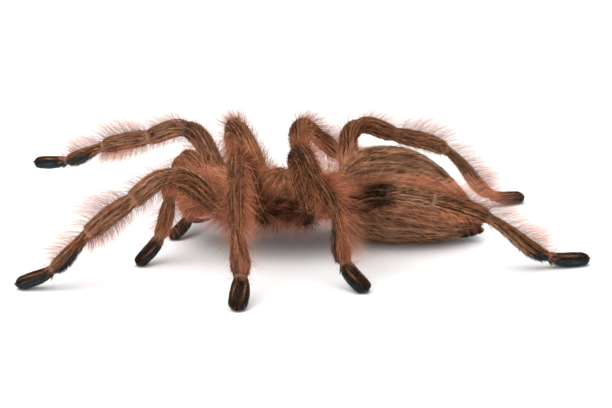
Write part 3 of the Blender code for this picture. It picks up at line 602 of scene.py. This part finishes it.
def leg_skin(name):
    """The skin of one leg or palp from its coxa to the tip of its foot."""
    side = SIDES[name.rsplit("_", 1)[1]]
    stretches = []
    for kind, curve in leg_curves(name).items():
        rows = max(7, round(np.linalg.norm(curve[3] - curve[0]) / ROW_STEP))
        t = np.linspace(0, 1, rows + 1)[(0 if kind == "coxa" else 1):]
        place, heading = bezier(curve, t)
        full = np.interp(t, *np.array(SEGMENT_FULLNESS[kind]).T)
        close = closing(t, 0.86, 0.14, 0.96) if kind == "tarsus" else 1.0
        tall, wide = (half * (full * girth_of(name, kind)) * close for half in SEGMENT_HALF_SIZES[kind])
        depth = COAT_DEPTH[kind] * close
        kinds = np.full(len(t), LEG_KINDS.index(kind))
        stretches.append((place, heading, tall - depth, wide - depth, kinds, t))
    place, heading, tall, wide, kinds, share = (np.concatenate(column) for column in zip(*stretches))
    foot = round(0.2 * rows)
    for half in (tall, wide):
        half[1:-1 - foot] = ((half[:-2] + 2 * half[1:-1] + half[2:]) / 4)[:-foot]
    upward = np.zeros_like(place)
    last = UPWARD
    for k, way in enumerate(heading):
        guess = last + UPWARD * (0.2 * hypot(*way[:2]))
        last = unit(guess - way * guess.dot(way))
        upward[k] = last
    rearward = unit(np.cross(upward, heading)) * side
    around = turns(LEG_COLUMNS)
    ring = off_middle(upward, tall, np.cos(around)) + off_middle(rearward, wide, np.sin(around))
    return Skin(place[:, None] + ring, kinds, share, around, (0.01, 0.01, 0.99, 0.99), leg_marks(name))


def off_middle(way, half, wave):
    return way[:, None] * (half[:, None] * wave)[..., None]


def ring_skin(places, headings, tall, wide, columns, island, marks):
    """A tube of skin along a curve, with rings that stand square to it."""
    around = turns(columns)
    upward = unit(np.cross(headings, np.cross(UPWARD, headings)))
    aside = unit(np.cross(upward, headings))
    points = places[:, None] + off_middle(upward, tall, np.cos(around))
    points = points + off_middle(aside, wide, np.sin(around))
    share = np.linspace(0, 1, len(places))
    return Skin(points, np.zeros(len(places), int), share, around, island, marks)


def smooth_through(stations, per_gap):
    """Stations on a smooth curve through the given ones."""
    stations, last = np.array(stations), len(stations) - 1
    made = []
    for k in range(last):
        before, start, end, after = stations[[max(k - 1, 0), k, k + 1, min(k + 2, last)]]
        bow = 2 * before - 5 * start + 4 * end - after
        twist = 3 * start - before - 3 * end + after
        for t in np.arange(per_gap) / per_gap:
            made.append(start + 0.5 * ((end - before) * t + bow * t * t + twist * t**3))
    return np.array([*made, stations[-1]])


def abdomen_marks(kind, share, around):
    """Greyish brown with dark streaks, a rusty band along each flank and a dark tail. Its paleness is partly
    greyish hair and partly a painted sheen, a little more on top. The belly is painted paler as light
    against its shade, and painted shade darkens the hollow at the waist.
    """
    top = np.cos(around)
    flank = bell(top, 0.1, 0.42) * bell(share, 0.55, 0.45)
    streak = streaks(share, around, 64, 7, 9)
    dash = clamp(streaks(share, around, 110, 8, 8) - 0.3) * clamp(top + 0.2)
    tail = clamp((share - 0.74) / 0.14)
    low = clamp(-top * 1.5)
    # Painted shade in the hollow where the abdomen meets the waist, at its front and below.
    painted_waist_shade = bell(share, 0.05, 0.2) * clamp(0.6 - top)
    dark = 0.28 + 0.5 * streak * np.clip(top + 0.5, 0.7, 1) + 1.9 * dash + 1.0 * tail
    # Painted light: the belly is made less dark and paler against the shade beneath it, with streaks of
    # painted sheen. The rest of the pale mark is partly greyish hair and partly painted sheen, a little more
    # on top.
    dark = dark - 0.1 * low - 0.2 * flank + 0.7 * painted_waist_shade
    rust = 0.14 + 0.6 * flank + 0.25 * bell(share, 0.0, 0.25)
    pale = 0.26 + 0.06 * clamp(top) + 0.2 * flank + (0.16 + 0.16 * streak) * low
    return marking(dark, rust, pale * (1 - tail))


def abdomen_skin():
    behind, top, bottom, half_width = smooth_through(ABDOMEN_STATIONS, 4).T
    places = np.stack([behind, np.zeros_like(behind), (top + bottom) / 2], axis=-1)
    tall, wide = (top - bottom) / 2 - BODY_DEPTH, half_width - BODY_DEPTH
    headings = np.tile(spot(-1, 0, 0), (len(behind), 1))
    return ring_skin(places, headings, tall, wide, 72, (0.01, 0.16, 0.99, 0.99), abdomen_marks)


def plain_marks(dark, rust, pale):
    def marks(kind, share, around):
        return marking(dark + 0.1 * streaks(share, around, 30, 11), rust, pale)

    return marks


def finger_skin(places, half_sizes, side, columns, island, marks, shrink=0.0):
    """Skin round a tapering finger that is given for the left side."""
    t = np.linspace(0, 1, 26)
    place, heading = bezier(side_curve(places, side), t)
    half = (np.interp(t, *np.array(half_sizes).T) - shrink) * closing(t, 0.94, 0.06)
    return ring_skin(place, heading, half, half, columns, island, marks)


def chelicera_skin(side, island):
    curve = [(ahead, CHELICERA_OFF_MIDDLE + out, up) for ahead, out, up in CHELICERA_CURVE]
    t = np.linspace(0, 1, 30)
    place, heading = bezier(side_curve(curve, side), t)
    full = np.interp(t, *np.array(CHELICERA_FULLNESS).T)
    close = closing(t, 0.86, 0.14)
    tall = (CHELICERA_HALF_HEIGHT * full - BODY_DEPTH) * close
    width = CHELICERA_LEAST_WIDTH + (1 - CHELICERA_LEAST_WIDTH) * full
    wide = (CHELICERA_HALF_WIDTH * width - BODY_DEPTH * 0.7) * close
    return ring_skin(place, heading, tall, wide, 30, island, plain_marks(0.06, 0.42, 0.2))


def swelling(shape, ahead, aside):
    height, middle, length, width = shape
    return height * np.exp(-(((ahead - middle) / length) ** 2) - (aside / width) ** 2)


def carapace_marks(kind, share, around):
    """Pinkish brown velvet with darker grooves that run out from the pit."""
    groove = bell(np.cos(GROOVE_COUNT * around), 1.0, 0.25) * share
    streak = streaks(share, around, 80, 5)
    dark = 0.24 + 0.38 * groove + 0.3 * streak
    rust = 0.46 + 0.15 * share
    pale = 0.04 + 0.2 * clamp((share - 0.9) * 8)
    return marking(dark, rust, pale)


def carapace_skin():
    """The shield, as rings that widen from its top to its rim and turn in beneath it."""
    around = 2 * pi * np.arange(CARAPACE_COLUMNS) / CARAPACE_COLUMNS
    shares = np.concatenate([np.linspace(0.03, 0.9, 24), np.linspace(0.93, 1.0, 6)])
    rows, kept = [], []
    for share in (*shares, 1.01, 1.0, 0.97, 0.8):
        narrowing = 1 - CARAPACE_NARROWING * np.cos(around)
        bluntness = 1 + CARAPACE_BLUNTNESS * np.sin(2 * around) ** 2
        ahead = (CARAPACE_LENGTH / 2 - BODY_DEPTH) * np.cos(around) * bluntness * share
        aside = (CARAPACE_WIDTH / 2 - BODY_DEPTH) * np.sin(around) * narrowing * bluntness * share
        if len(rows) >= len(shares):
            drop = (0.35, 0.75, 1.1, 1.2)[len(rows) - len(shares)]
            up = np.full_like(around, CARAPACE_RIM_HEIGHT - CARAPACE_RIM_DEPTH * drop)
        else:
            groove = GROOVE_DEPTH * np.cos(GROOVE_COUNT * around) * share * (1 - share) * 4
            head = swelling(HEAD_SWELLING, ahead, aside) * (1 - share)
            dome = CARAPACE_CROWN * (1 - share**2.2)
            up = CARAPACE_RIM_HEIGHT + dome + head - swelling(FOVEA_PIT, ahead, aside) - groove
            up = up - BODY_DEPTH * (1 - 0.7 * share**4)
        rows.append(np.stack([-(CARAPACE_MIDDLE + ahead), -aside, up], axis=-1))
        kept.append(min(share, 1.0))
    kinds, turn = np.zeros(len(rows), int), turns(CARAPACE_COLUMNS)
    return Skin(np.array(rows), kinds, kept, turn, (0.01, 0.01, 0.66, 0.66), carapace_marks)


def ball_skin(centre, half_sizes, columns, island, marks, rows=18):
    """An egg of skin whose rings lie level, from its top down."""
    fall = np.linspace(0.06, 0.97, rows) * pi
    around = 2 * pi * np.arange(columns) / columns
    ring = np.stack([-np.cos(around) * half_sizes[0], -np.sin(around) * half_sizes[1], 0 * around], axis=-1)
    points = centre + np.sin(fall)[:, None, None] * ring[None]
    points[..., 2] += (np.cos(fall) * half_sizes[2])[:, None]
    return Skin(points, np.zeros(rows, int), np.linspace(0, 1, rows), turns(columns), island, marks)


def eye_mound_middle():
    ahead = EYE_MOUND_AHEAD - CARAPACE_MIDDLE
    share = ahead / (CARAPACE_LENGTH / 2)
    dome = CARAPACE_CROWN * (1 - share**2.2) - GROOVE_DEPTH * share * (1 - share) * 4
    head = float(swelling(HEAD_SWELLING, ahead, 0.0)) * (1 - share)
    return spot(EYE_MOUND_AHEAD, 0, CARAPACE_RIM_HEIGHT + dome + head)


def pedicel_skin():
    ahead = np.linspace(*PEDICEL_ENDS, 8)
    places = np.stack([-ahead, 0 * ahead, np.full(8, PEDICEL_HEIGHT)], axis=-1)
    half = np.full(8, PEDICEL_HALF_SIZE)
    headings = np.tile(spot(-1, 0, 0), (8, 1))
    return ring_skin(places, headings, half, half, 16, (0.01, 0.01, 0.3, 0.14), plain_marks(0.4, 0.2, 0.0))


def link(name, mesh, finish, replaced=()):
    """A piece of the spider in the scene, with what the frame needs to know of it."""
    made = added(name, mesh)
    mesh.materials.append(finish)
    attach(made, "root")
    if replaced:
        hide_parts(*replaced)
    return made


def to_frame(points):
    """Millimetres from the spider's own origin to metres in the frame."""
    return np.asarray(points) * MM + np.array(ORIGIN)


def joined_mesh(name, shapes):
    """One mesh from several lists of points and faces."""
    points, faces, start = [], [], 0
    for shape_points, shape_faces in shapes:
        points.append(np.asarray(shape_points))
        faces += [tuple(int(i) + start for i in face) for face in shape_faces]
        start += len(shape_points)
    mesh = bpy.data.meshes.new(name)
    mesh.from_pydata(to_frame(np.concatenate(points)), [], faces)
    mesh.update()
    return mesh


def one_skin(skins, finish):
    """All stretches of skin joined into one closed, even surface."""
    mesh = joined_mesh("skin", [skin.loft() for skin in skins])
    flesh = [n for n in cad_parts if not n.startswith("fang") and n != "eye_tubercle"]
    made = link("skin", mesh, finish, flesh)
    remesh = made.modifiers.new("even", "REMESH")
    remesh.mode = "VOXEL"
    remesh.voxel_size = VOXEL * MM
    smooth = made.modifiers.new("smooth", "SMOOTH")
    smooth.factor = 0.5
    smooth.iterations = 3
    bpy.context.view_layer.update()
    graph = bpy.context.evaluated_depsgraph_get()
    done = bpy.data.meshes.new_from_object(made.evaluated_get(graph))
    made.modifiers.clear()
    made.data = done
    done.name = "skin"
    done.shade_smooth()
    mark_skin(done, skins)
    return done


def mark_skin(mesh, skins):
    """Gives the joined skin's points the marks of the nearest points of its stretches."""
    places = np.concatenate([skin.points.reshape(-1, 3) for skin in skins])
    marks = np.concatenate([skin.marks.reshape(-1, 4) for skin in skins])
    tree = KDTree(len(places))
    for k, place in enumerate(to_frame(places)):
        tree.insert(place, k)
    tree.balance()
    found = np.zeros((len(mesh.vertices), 4), dtype=np.float32)
    for k, vertex in enumerate(mesh.vertices):
        near = tree.find_n(vertex.co, 3)
        weight = np.array([1 / (distance + 1e-5) for _, _, distance in near])
        found[k] = (marks[[i for _, i, _ in near]] * weight[:, None]).sum(0) / weight.sum()
    hold(mesh.attributes.new("marks", "FLOAT_COLOR", "POINT").data, "color", found)


def chosen(at, keep):
    """The places that are kept, with all that is known of them."""
    return SimpleNamespace(**{key: values[keep] for key, values in vars(at).items()})


def hold(layer, key, values):
    """Fills a layer of a mesh."""
    layer.foreach_set(key, values.astype(np.float32).ravel())


class Coat:
    """Hairs as thin, three-sided, tapered solids. Each is rooted in the skin and bends over along its lie.

    locks is how many combed strands of lighter and darker hair go round the skin, and how many along it. The
    darker, sparser strands are partly the hair's own tone and partly painted shade in the gaps between
    locks.
    """

    def __init__(self, name, seed, surface, locks):
        self.name = name
        self.surface = surface
        self.locks = locks
        self.random = np.random.default_rng(seed)
        self.batches = []
        self.points = 0

    def grow(self, skin, density, length, width, lean, rings=2, rosy=0.0, rust=None, sway=9, tint=0.0):
        """Sows hairs over a stretch of skin.

        density is per square millimetre. It, length and lean may be functions of the hair's place. lean is
        how far a hair stands up at its root and at its tip, in degrees, and tint makes it lighter or darker.
        """
        areas = skin.cell_areas()
        half = np.full(areas.size, 0.5)
        centre = skin.at(*np.indices(areas.shape).reshape(2, -1), half, half)
        weight = areas.ravel() * self.value(density, centre)
        count = int(round(weight.sum()))
        evenly = (np.arange(count) + self.random.random()) * weight.sum() / count
        cells = np.minimum(np.searchsorted(np.cumsum(weight), evenly), len(weight) - 1)
        rows, columns = np.divmod(cells, skin.points.shape[1])
        at = skin.at(rows, columns, self.random.random(count), self.random.random(count))
        at.lock = streaks(at.share, at.around, self.locks[0], 900, self.locks[1])
        at = chosen(at, self.random.random(count) < 0.85 + 0.8 * at.lock)
        at = chosen(at, self.on_surface(at.root))
        count = len(at.share)
        marks = skin.pattern(at.kind, at.share, at.around)
        if rust is not None:
            marks[:, 1] = self.value(rust, at)
        marks[:, 1] = clamp(marks[:, 1] + self.random.normal(0, 0.15, count))
        angle = np.radians(self.random.normal(0, sway, count))[:, None]
        normal = at.normal
        flat = unit(at.lie - normal * (at.lie * normal).sum(-1, keepdims=True))
        flat = flat * np.cos(angle) + np.cross(normal, flat) * np.sin(angle)
        lengths = self.value(length, at) * self.random.uniform(0.7, 1.2, count)
        widths = width * self.random.uniform(0.8, 1.2, count)
        leans = lean(at) if callable(lean) else lean
        jitter = self.random.normal(0, 6, count)
        rises = (np.radians(np.clip(value + jitter, 4, 100))[:, None] for value in leans)
        start, end = (flat * np.cos(rise) + normal * np.sin(rise) for rise in rises)
        # Lock and random tone make each hair lighter or darker. The lock part also paints shade in the gaps
        # between locks, and the lighter side drives the painted sheen.
        shade = self.random.normal(0, 0.5, count) + 1.9 * at.lock
        shade = np.clip(tint + shade * (1 - 0.5 * rosy), -1.15, 1.4)
        # Dark and pad hairs get less of the brightening and the painted sheen.
        shade = shade - 0.7 * np.maximum(marks[:, 0], marks[:, 3]) * np.clip(shade, 0, None)
        self.strands(at, start, end, lengths, widths, rings, marks, shade, rosy)

    def value(self, given, at):
        return given(at) if callable(given) else np.full(len(at.share), float(given))

    def on_surface(self, roots):
        """Which roots are at the joined skin's surface and clear of the floor."""
        def kept(root):
            clear = root[2] >= ROOT_FLOOR * MM
            return clear and self.surface.find_nearest(root, ROOT_REACH * MM)[0] is not None

        return np.array([kept(root) for root in to_frame(roots)], dtype=bool)

    def strands(self, at, start, end, lengths, widths, rings, marks, tint, rosy):
        far = np.linspace(0, 1, rings + 1)[None, :, None]
        bend = (end - start)[:, None]
        reach = lengths[:, None, None]
        place = at.root[:, None] - start[:, None] * HAIR_SINK
        place = place + reach * (start[:, None] * far + bend * far**2 / 2)
        way = unit(start[:, None] + bend * far)
        across = unit(np.cross(way, at.normal[:, None]))
        above = np.cross(across, way)
        taper = (widths[:, None] / 2 * (1 - far[..., 0] ** 1.8))[..., None, None]
        turn = np.radians((90, 210, 330))
        ring = across[:, :, None] * np.cos(turn)[:, None]
        ring = ring + above[:, :, None] * (0.75 * np.sin(turn))[:, None]
        body = (place[:, :-1, None] + ring[:, :-1] * taper[:, :-1]).reshape(len(lengths), -1, 3)
        points = np.concatenate([body, place[:, -1:]], axis=1)
        points[..., 2] = np.maximum(points[..., 2], HAIR_FLOOR)
        along = np.concatenate([np.repeat(far[0, :-1, 0], 3), [1.0]])
        side = np.concatenate([np.tile((0.0, -0.5, 0.5), rings), [0.0]])
        count, each = points.shape[:2]
        index = self.triangles(rings)[None] + (each * np.arange(count))[:, None, None]
        strand = np.stack(np.broadcast_arrays(along[None], tint[:, None], rosy), axis=-1)
        flat_u = at.u[:, None] + side[None] * PATCH_WIDTH
        flat_v = at.v[:, None] + (along[None] - 0.5) * PATCH_WIDTH
        corner = np.stack([flat_u, flat_v], axis=-1).reshape(-1, 2)[index.ravel()]
        marks = np.repeat(marks, each, axis=0)
        faces = index.reshape(-1, 3) + self.points
        self.batches.append((points.reshape(-1, 3), faces, marks, strand.reshape(-1, 3), corner))
        self.points += count * each

    def triangles(self, rings):
        """The faces of one hair, from its root's cap to its tip."""
        found = [(0, 1, 2)]
        for r in range(rings - 1):
            for k in range(3):
                a, b = 3 * r + k, 3 * r + (k + 1) % 3
                found += [(a, a + 3, b + 3), (a, b + 3, b)]
        last = 3 * (rings - 1)
        found += [(last + k, last + 3, last + (k + 1) % 3) for k in range(3)]
        return np.array(found)

    def build(self, finish):
        points, faces, marks, strand, corners = (np.concatenate(part) for part in zip(*self.batches))
        faces = faces.astype(np.int32)
        mesh = bpy.data.meshes.new(self.name)
        mesh.vertices.add(len(points))
        hold(mesh.vertices, "co", to_frame(points))
        mesh.loops.add(faces.size)
        mesh.loops.foreach_set("vertex_index", faces.ravel())
        mesh.polygons.add(len(faces))
        mesh.polygons.foreach_set("loop_start", np.arange(0, faces.size, 3, dtype=np.int32))
        mesh.update(calc_edges=True)
        hold(mesh.uv_layers.new(name="OFBake").uv, "vector", corners.clip(0.001, 0.999))
        hold(mesh.attributes.new("marks", "FLOAT_COLOR", "POINT").data, "color", marks)
        hold(mesh.attributes.new("strand", "FLOAT_VECTOR", "POINT").data, "vector", strand)
        mesh.shade_smooth()
        link(self.name, mesh, finish)


# Hair of the legs from coxa to tarsus: hairs for each square millimetre, and their lengths.
FUR_DENSITY = np.array((12.0, 16.0, 17.0, 18.0, 19.0, 24.0))
FUR_LENGTH = np.array((1.9, 1.7, 1.5, 1.5, 1.3, 0.8))
BRISTLE_DENSITY = np.array((1.2, 1.0, 1.0, 1.2, 1.1, 0.2))
BRISTLE_LENGTH = np.array((3.2, 2.6, 2.3, 2.4, 1.9, 0.9))
LONG_DENSITY = np.array((1.6, 4.0, 9.0, 13.0, 13.0, 1.2))
LONG_LENGTH = np.array((4.6, 5.8, 6.2, 8.6, 7.6, 2.8))
FRINGE_DENSITY = np.array((7.0, 2.4, 5.6, 12.0, 2.8, 0.0))
FRINGE_LENGTH = np.array((5.2, 3.6, 3.6, 4.8, 2.8, 0.5))
FRINGE_SHARE = {"palp": 0.5, "leg_1": 2.2, "leg_2": 1.1, "leg_3": 0.9, "leg_4": 0.25}
FUR_WIDTH = 0.19
BRISTLE_WIDTH = 0.12
LONG_WIDTH = 0.036
FRINGE_WIDTH = 0.044
LEG_LOCKS = (44, 2)
ABDOMEN_LOCKS = (130, 12)
FRONT_LOCKS = (80, 4)

# The shaggy orange hair: how much of it each segment has, and its share all round, behind and beneath.
SHAG = {
    "palp": ((1.6, 2.0, 1.2, 0.4, 0.0, 0.0), (0.6, 0.0, 0.4)),
    "leg_1": ((1.6, 1.6, 0.5, 0.5, 0.0, 0.0), (0.1, 0.3, 0.8)),
    "leg_2": ((1.4, 2.4, 3.2, 3.6, 0.9, 0.0), (0.1, 0.9, 0.2)),
    "leg_3": ((1.6, 2.8, 3.2, 3.4, 1.0, 0.0), (0.4, 0.6, 0.2)),
    "leg_4": ((1.2, 1.4, 1.0, 3.2, 0.3, 0.0), (0.0, 0.1, 0.9)),
}
SHAG_SHORTENING = {"leg_4": 0.8}
SHAG_LENGTH = np.array((4.2, 4.6, 4.6, 4.8, 3.0, 0.5))
SHAG_WIDTH = 0.1


def leg_coat(name, skin, surface, finish):
    """The coat of one leg or palp, from short fur to long rosy hairs over its back."""
    leg = name.rsplit("_", 1)[0]
    girth = girth_of(name, "coxa")
    coat = Coat(f"coat_{name}", 500 + list(LEG_POSES).index(name), surface, LEG_LOCKS)
    known = known_lengths(leg)
    lengths = np.array([known.get(kind, COXA_LENGTH) for kind in LEG_KINDS])
    above_foot = LEG_KINDS.index(list(known)[-2])

    def under(at):
        return (1 - at.top) / 2

    def left(at):
        return (1 - at.share) * lengths[at.kind]

    def short_of_joint(at):
        """Shortens fur that would reach over the bare ring at the next joint."""
        begun = np.clip(at.share * lengths[at.kind] / 1.5, 0.4, 1)
        return np.where(at.kind == TARSUS, begun, np.clip(left(at) / 1.5, 0.28, 1))

    def short_of_foot(at):
        """Shortens long hair that would reach over the foot."""
        return np.where(at.kind == above_foot, np.clip(left(at) / 4.5, 0.25, 1), 1.0)

    def off_joint(at):
        off = np.minimum(at.share, 1 - at.share) * lengths[at.kind]
        return np.where(at.kind == TARSUS, 1.0, np.clip(off / 0.7, 0.3, 1))

    def fur_length(at):
        pads = np.array((0, 0, 0, 0, 0.1, -0.4))[at.kind]
        return FUR_LENGTH[at.kind] * (1 + pads * under(at)) * short_of_joint(at)

    def fur_lean(at):
        pads = at.kind >= METATARSUS
        up = pads * clamp((under(at) - 0.55) * 5)
        return 14 + 30 * up, 5 + 24 * up

    def lengths_of(table):
        return lambda at: table[at.kind] * girth * short_of_foot(at)

    def over_back(at):
        above = np.clip(1.5 * at.top - 0.2, 0, 1.2)
        return LONG_DENSITY[at.kind] * above * off_joint(at)

    def beneath(at):
        below = clamp(-1.5 * at.top - 0.1) * (0.5 + at.share)
        return FRINGE_DENSITY[at.kind] * FRINGE_SHARE[leg] * below

    def shag(at):
        amounts, (all_round, behind, below) = SHAG[leg]
        share = all_round + behind * np.sin(at.around) - below * at.top
        return np.array(amounts)[at.kind] * clamp(share) * off_joint(at)

    def over_hip(at):
        near = clamp(1 - (at.kind + at.share) / 1.5)
        return 8.0 * near * (at.top > -0.1)

    def shag_length(at):
        shortening = 1 - SHAG_SHORTENING.get(leg, 0.0) * at.share
        return SHAG_LENGTH[at.kind] * girth * shortening * short_of_foot(at)

    fur = lambda at: FUR_DENSITY[at.kind] * off_joint(at)
    coat.grow(skin, fur, fur_length, FUR_WIDTH, fur_lean, 1, sway=4)
    bristles = lambda at: BRISTLE_DENSITY[at.kind]
    reach = lambda at: BRISTLE_LENGTH[at.kind] * girth * short_of_joint(at)
    coat.grow(skin, bristles, reach, BRISTLE_WIDTH, (24, 9), 2, 0.05, tint=0.2)
    coat.grow(skin, over_back, lengths_of(LONG_LENGTH), LONG_WIDTH, (68, 30), 3, 1.0, sway=6)
    coat.grow(skin, beneath, lengths_of(FRINGE_LENGTH), FRINGE_WIDTH, (76, 54), 3, 0.9, 0.7, 9)
    coat.grow(skin, over_hip, 4.8, 0.1, (76, 46), 3, 0.1, 0.6, 16)
    coat.grow(skin, shag, shag_length, SHAG_WIDTH, (52, 24), 3, 0.1, 1.0, 16, 0.4)
    coat.build(finish)


def abdomen_coat(skins, surface, finish):
    body, waist, *fingers = skins
    coat = Coat("coat_abdomen", 61, surface, ABDOMEN_LOCKS)
    coat.grow(body, 13.0, lambda at: 1.6 + 0.4 * clamp(at.top), 0.19, (15, 5), 1, sway=6)
    coat.grow(body, lambda at: 1.2 + 0.5 * (at.top > 0), 2.8, 0.12, (22, 7), 2, 0.05, sway=8, tint=0.1)
    flank = lambda at: 1.5 * (bell(at.top, 0.15, 0.5) * clamp(1.5 - at.share * 1.3))
    coat.grow(body, flank, 4.6, 0.1, (34, 12), 3, 0.5, 0.8, 12, 0.35)
    collar = lambda at: 2.0 * clamp(1 - at.share * 3.2) * (at.top > -0.7)
    coat.grow(body, collar, 5.4, 0.1, (48, 16), 3, 0.55, 0.8, 18, 0.35)
    tail = lambda at: 2.2 * clamp((at.share - 0.72) * 5)
    coat.grow(body, tail, 1.8, 0.12, (34, 14), 3, 0.05, None, 12, -0.4)
    coat.grow(waist, 4.0, 1.6, 0.13, (30, 10))
    for finger in fingers:
        coat.grow(finger, 16.0, 0.8, 0.13, (34, 14), 1, tint=-0.5)
        coat.grow(finger, 1.4, 1.3, 0.09, (50, 26), 3, 0.1)
    coat.build(finish)


def front_coat(shield, jaws, plate, mound, surface, finish):
    coat = Coat("coat_front_body", 62, surface, FRONT_LOCKS)
    rim = lambda at: 0.5 + 1.6 * (at.share > 0.85)
    coat.grow(shield, lambda at: 15.0 * (at.share < 1.0), 1.3, 0.17, (16, 5), 1)
    coat.grow(shield, rim, 3.4, 0.1, (56, 24), 3, 0.4, 0.7)
    for jaw in jaws:
        coat.grow(jaw, 11.0, 2.0, 0.17, (22, 7), 1)
        coat.grow(jaw, 2.6, 3.6, 0.1, (44, 14), 3, 0.35, 0.8, 16, 0.25)
        coat.grow(jaw, lambda at: 1.6 * (at.share > 0.3), 5.0, 0.1, (54, 20), 3, 0.8, 0.8, 16)
        coat.grow(jaw, lambda at: 8.0 * (at.top < 0), 4.2, 0.1, (84, 60), 3, 0.3, 0.85, 16)
        coat.grow(jaw, lambda at: 7.0 * (at.share > 0.62), 4.6, 0.1, (34, 8), 3, 0.4, 0.9, 12, -0.1)
    coat.grow(plate, 7.0, 1.8, 0.17, (30, 12), 1)
    coat.grow(plate, 5.0, 4.8, 0.1, (80, 56), 3, 0.1, 0.4)
    coat.grow(mound, lambda at: 3.0 * (at.share > 0.45), 0.8, 0.09, (40, 20))
    coat.build(finish)


WHOLE_ISLAND = (0, 0, 1, 1)
BARE = plain_marks(0, 0, 0)


def horn_piece(name, shapes, finish, replaced=()):
    mesh = joined_mesh(name, shapes)
    mesh.shade_smooth()
    link(name, mesh, finish, replaced)


def fangs(finish):
    """Two curved fangs, folded back under the jaws."""
    t = np.linspace(0, 1, 28)
    half = np.interp(t, *np.array(FANG_HALF_SIZES).T)
    for side_name, side in SIDES.items():
        place, heading = bezier(side_curve(FANG_CURVE, side), t)
        shape = ring_skin(place, heading, half, half, 16, WHOLE_ISLAND, BARE).loft()
        horn_piece(f"fang_{side_name}_horn", [shape], finish, [f"fang_{side_name}"])


def eyes(finish):
    """Eight small beads on the mound at the front of the head."""
    middle = eye_mound_middle()
    shapes = []
    for side in SIDES.values():
        for ahead, out, up, radius in EYES:
            centre = middle + spot(ahead, side * out, up)
            shapes.append(ball_skin(centre, (radius,) * 3, 20, WHOLE_ISLAND, BARE, 14).loft())
    horn_piece("eyes", shapes, finish, ["eye_tubercle"])


CLAW_LENGTH = 1.0
CLAW_HALF_SIZE = 0.13


def claws(finish):
    """A pair of small hooked claws at the tip of each foot, and one on each palp."""
    shapes = []
    for name in LEG_POSES:
        (tip,), (way,) = bezier(leg_curves(name)["tarsus"], 0.965)
        across = unit(np.cross(UPWARD, way))
        upward = np.cross(way, across)
        for out in ((0.0,) if name.startswith("palp") else (-0.42, 0.42)):
            root = tip + across * out + upward * 0.25
            bow = root + way * CLAW_LENGTH * 0.6 + upward * 0.32
            end = root + way * CLAW_LENGTH + across * out * 0.4 - upward * 0.28
            t = np.linspace(0, 1, 10)
            place, heading = bezier((root, root + way * 0.3 + upward * 0.25, bow, end), t)
            half = CLAW_HALF_SIZE * (1.02 - t)
            place[:, 2] = np.maximum(place[:, 2], 0.2)
            shapes.append(ring_skin(place, heading, half, half, 8, WHOLE_ISLAND, BARE).loft())
    horn_piece("claws", shapes, finish)


FLOOR_HALF_SIZE = 4.0


def floor():
    mesh = bpy.data.meshes.new("floor")
    half = FLOOR_HALF_SIZE
    corners = [(-half, -half, 0), (half, -half, 0), (half, half, 0), (-half, half, 0)]
    mesh.from_pydata(corners, [], [(0, 1, 2, 3)])
    made = added("floor", mesh)
    finish = Finish("floor", Roughness=0.8)
    mesh.materials.append(finish.shade(Base_Color=FLOOR_WHITE))


def soft_light(name, place, size, energy):
    made = added(name, bpy.data.lights.new(name, "AREA"))
    made.data.shape = "DISK"
    made.data.size = size
    made.data.energy = energy
    made.location = place
    made.rotation_euler = Vector(place).to_track_quat("Z", "Y").to_euler()


def studio():
    floor()
    soft_light("overhead", (-0.15, -0.1, 0.9), 1.3, 9.5)
    soft_light("front", (-0.5, -0.9, 0.55), 0.7, 4.0)
    world = bpy.data.worlds.new("studio")
    bpy.context.scene.world = world
    world.use_nodes = True
    light = world.node_tree.nodes["Background"].inputs
    light["Color"].default_value = (1, 1, 1, 1)
    light["Strength"].default_value = 0.75
    bpy.context.scene.view_settings.view_transform = "Standard"


def spider():
    legs = {name: leg_skin(name) for name in LEG_POSES}
    islands = (0.01, 0.68, 0.32, 0.99), (0.34, 0.68, 0.65, 0.99)
    jaws = [chelicera_skin(side, island) for side, island in zip(SIDES.values(), islands)]
    shield = carapace_skin()
    half_sizes = np.array(STERNUM_HALF_SIZES) - BODY_DEPTH
    sternum_middle = spot(CARAPACE_MIDDLE, 0, STERNUM_MIDDLE_HEIGHT)
    plate = ball_skin(sternum_middle, half_sizes, 40, (0.68, 0.01, 0.99, 0.66), plain_marks(0.75, 0.1, 0.0))
    mound_sizes = np.array(EYE_MOUND_HALF_SIZES) - EYE_MOUND_DEPTH
    dusky = plain_marks(0.35, 0.3, 0.0)
    mound = ball_skin(eye_mound_middle(), mound_sizes, 30, (0.68, 0.68, 0.99, 0.99), dusky)
    dark, fingers = plain_marks(1.0, 0.1, 0.0), []
    for k, side in enumerate(SIDES.values()):
        long = (0.32 + 0.34 * k, 0.01, 0.48 + 0.34 * k, 0.14)
        short = (0.5 + 0.34 * k, 0.01, 0.64 + 0.34 * k, 0.14)
        fingers.append(finger_skin(SPINNERET_CURVE, SPINNERET_HALF_SIZES, side, 16, long, dark, 0.1))
        fingers.append(finger_skin(SHORT_SPINNERET_CURVE, SHORT_SPINNERET_HALF_SIZES, side, 12, short, dark))
    hind = [abdomen_skin(), pedicel_skin(), *fingers]
    skins = [*legs.values(), *jaws, shield, plate, mound, *hind]
    mesh = one_skin(skins, skin_finish())
    faces = [tuple(face.vertices) for face in mesh.polygons]
    surface = BVHTree.FromPolygons([vertex.co for vertex in mesh.vertices], faces)
    coat = coat_finish()
    for name, leg in legs.items():
        leg_coat(name, leg, surface, coat)
    abdomen_coat(hind, surface, coat)
    front_coat(shield, jaws, plate, mound, surface, coat)
    horn = horn_finish("horn", HORN, HORN_EDGE, 0.18)
    fangs(horn)
    claws(horn)
    eyes(horn_finish("eye", EYE, EYE_EDGE, 0.06))


spider()
studio()
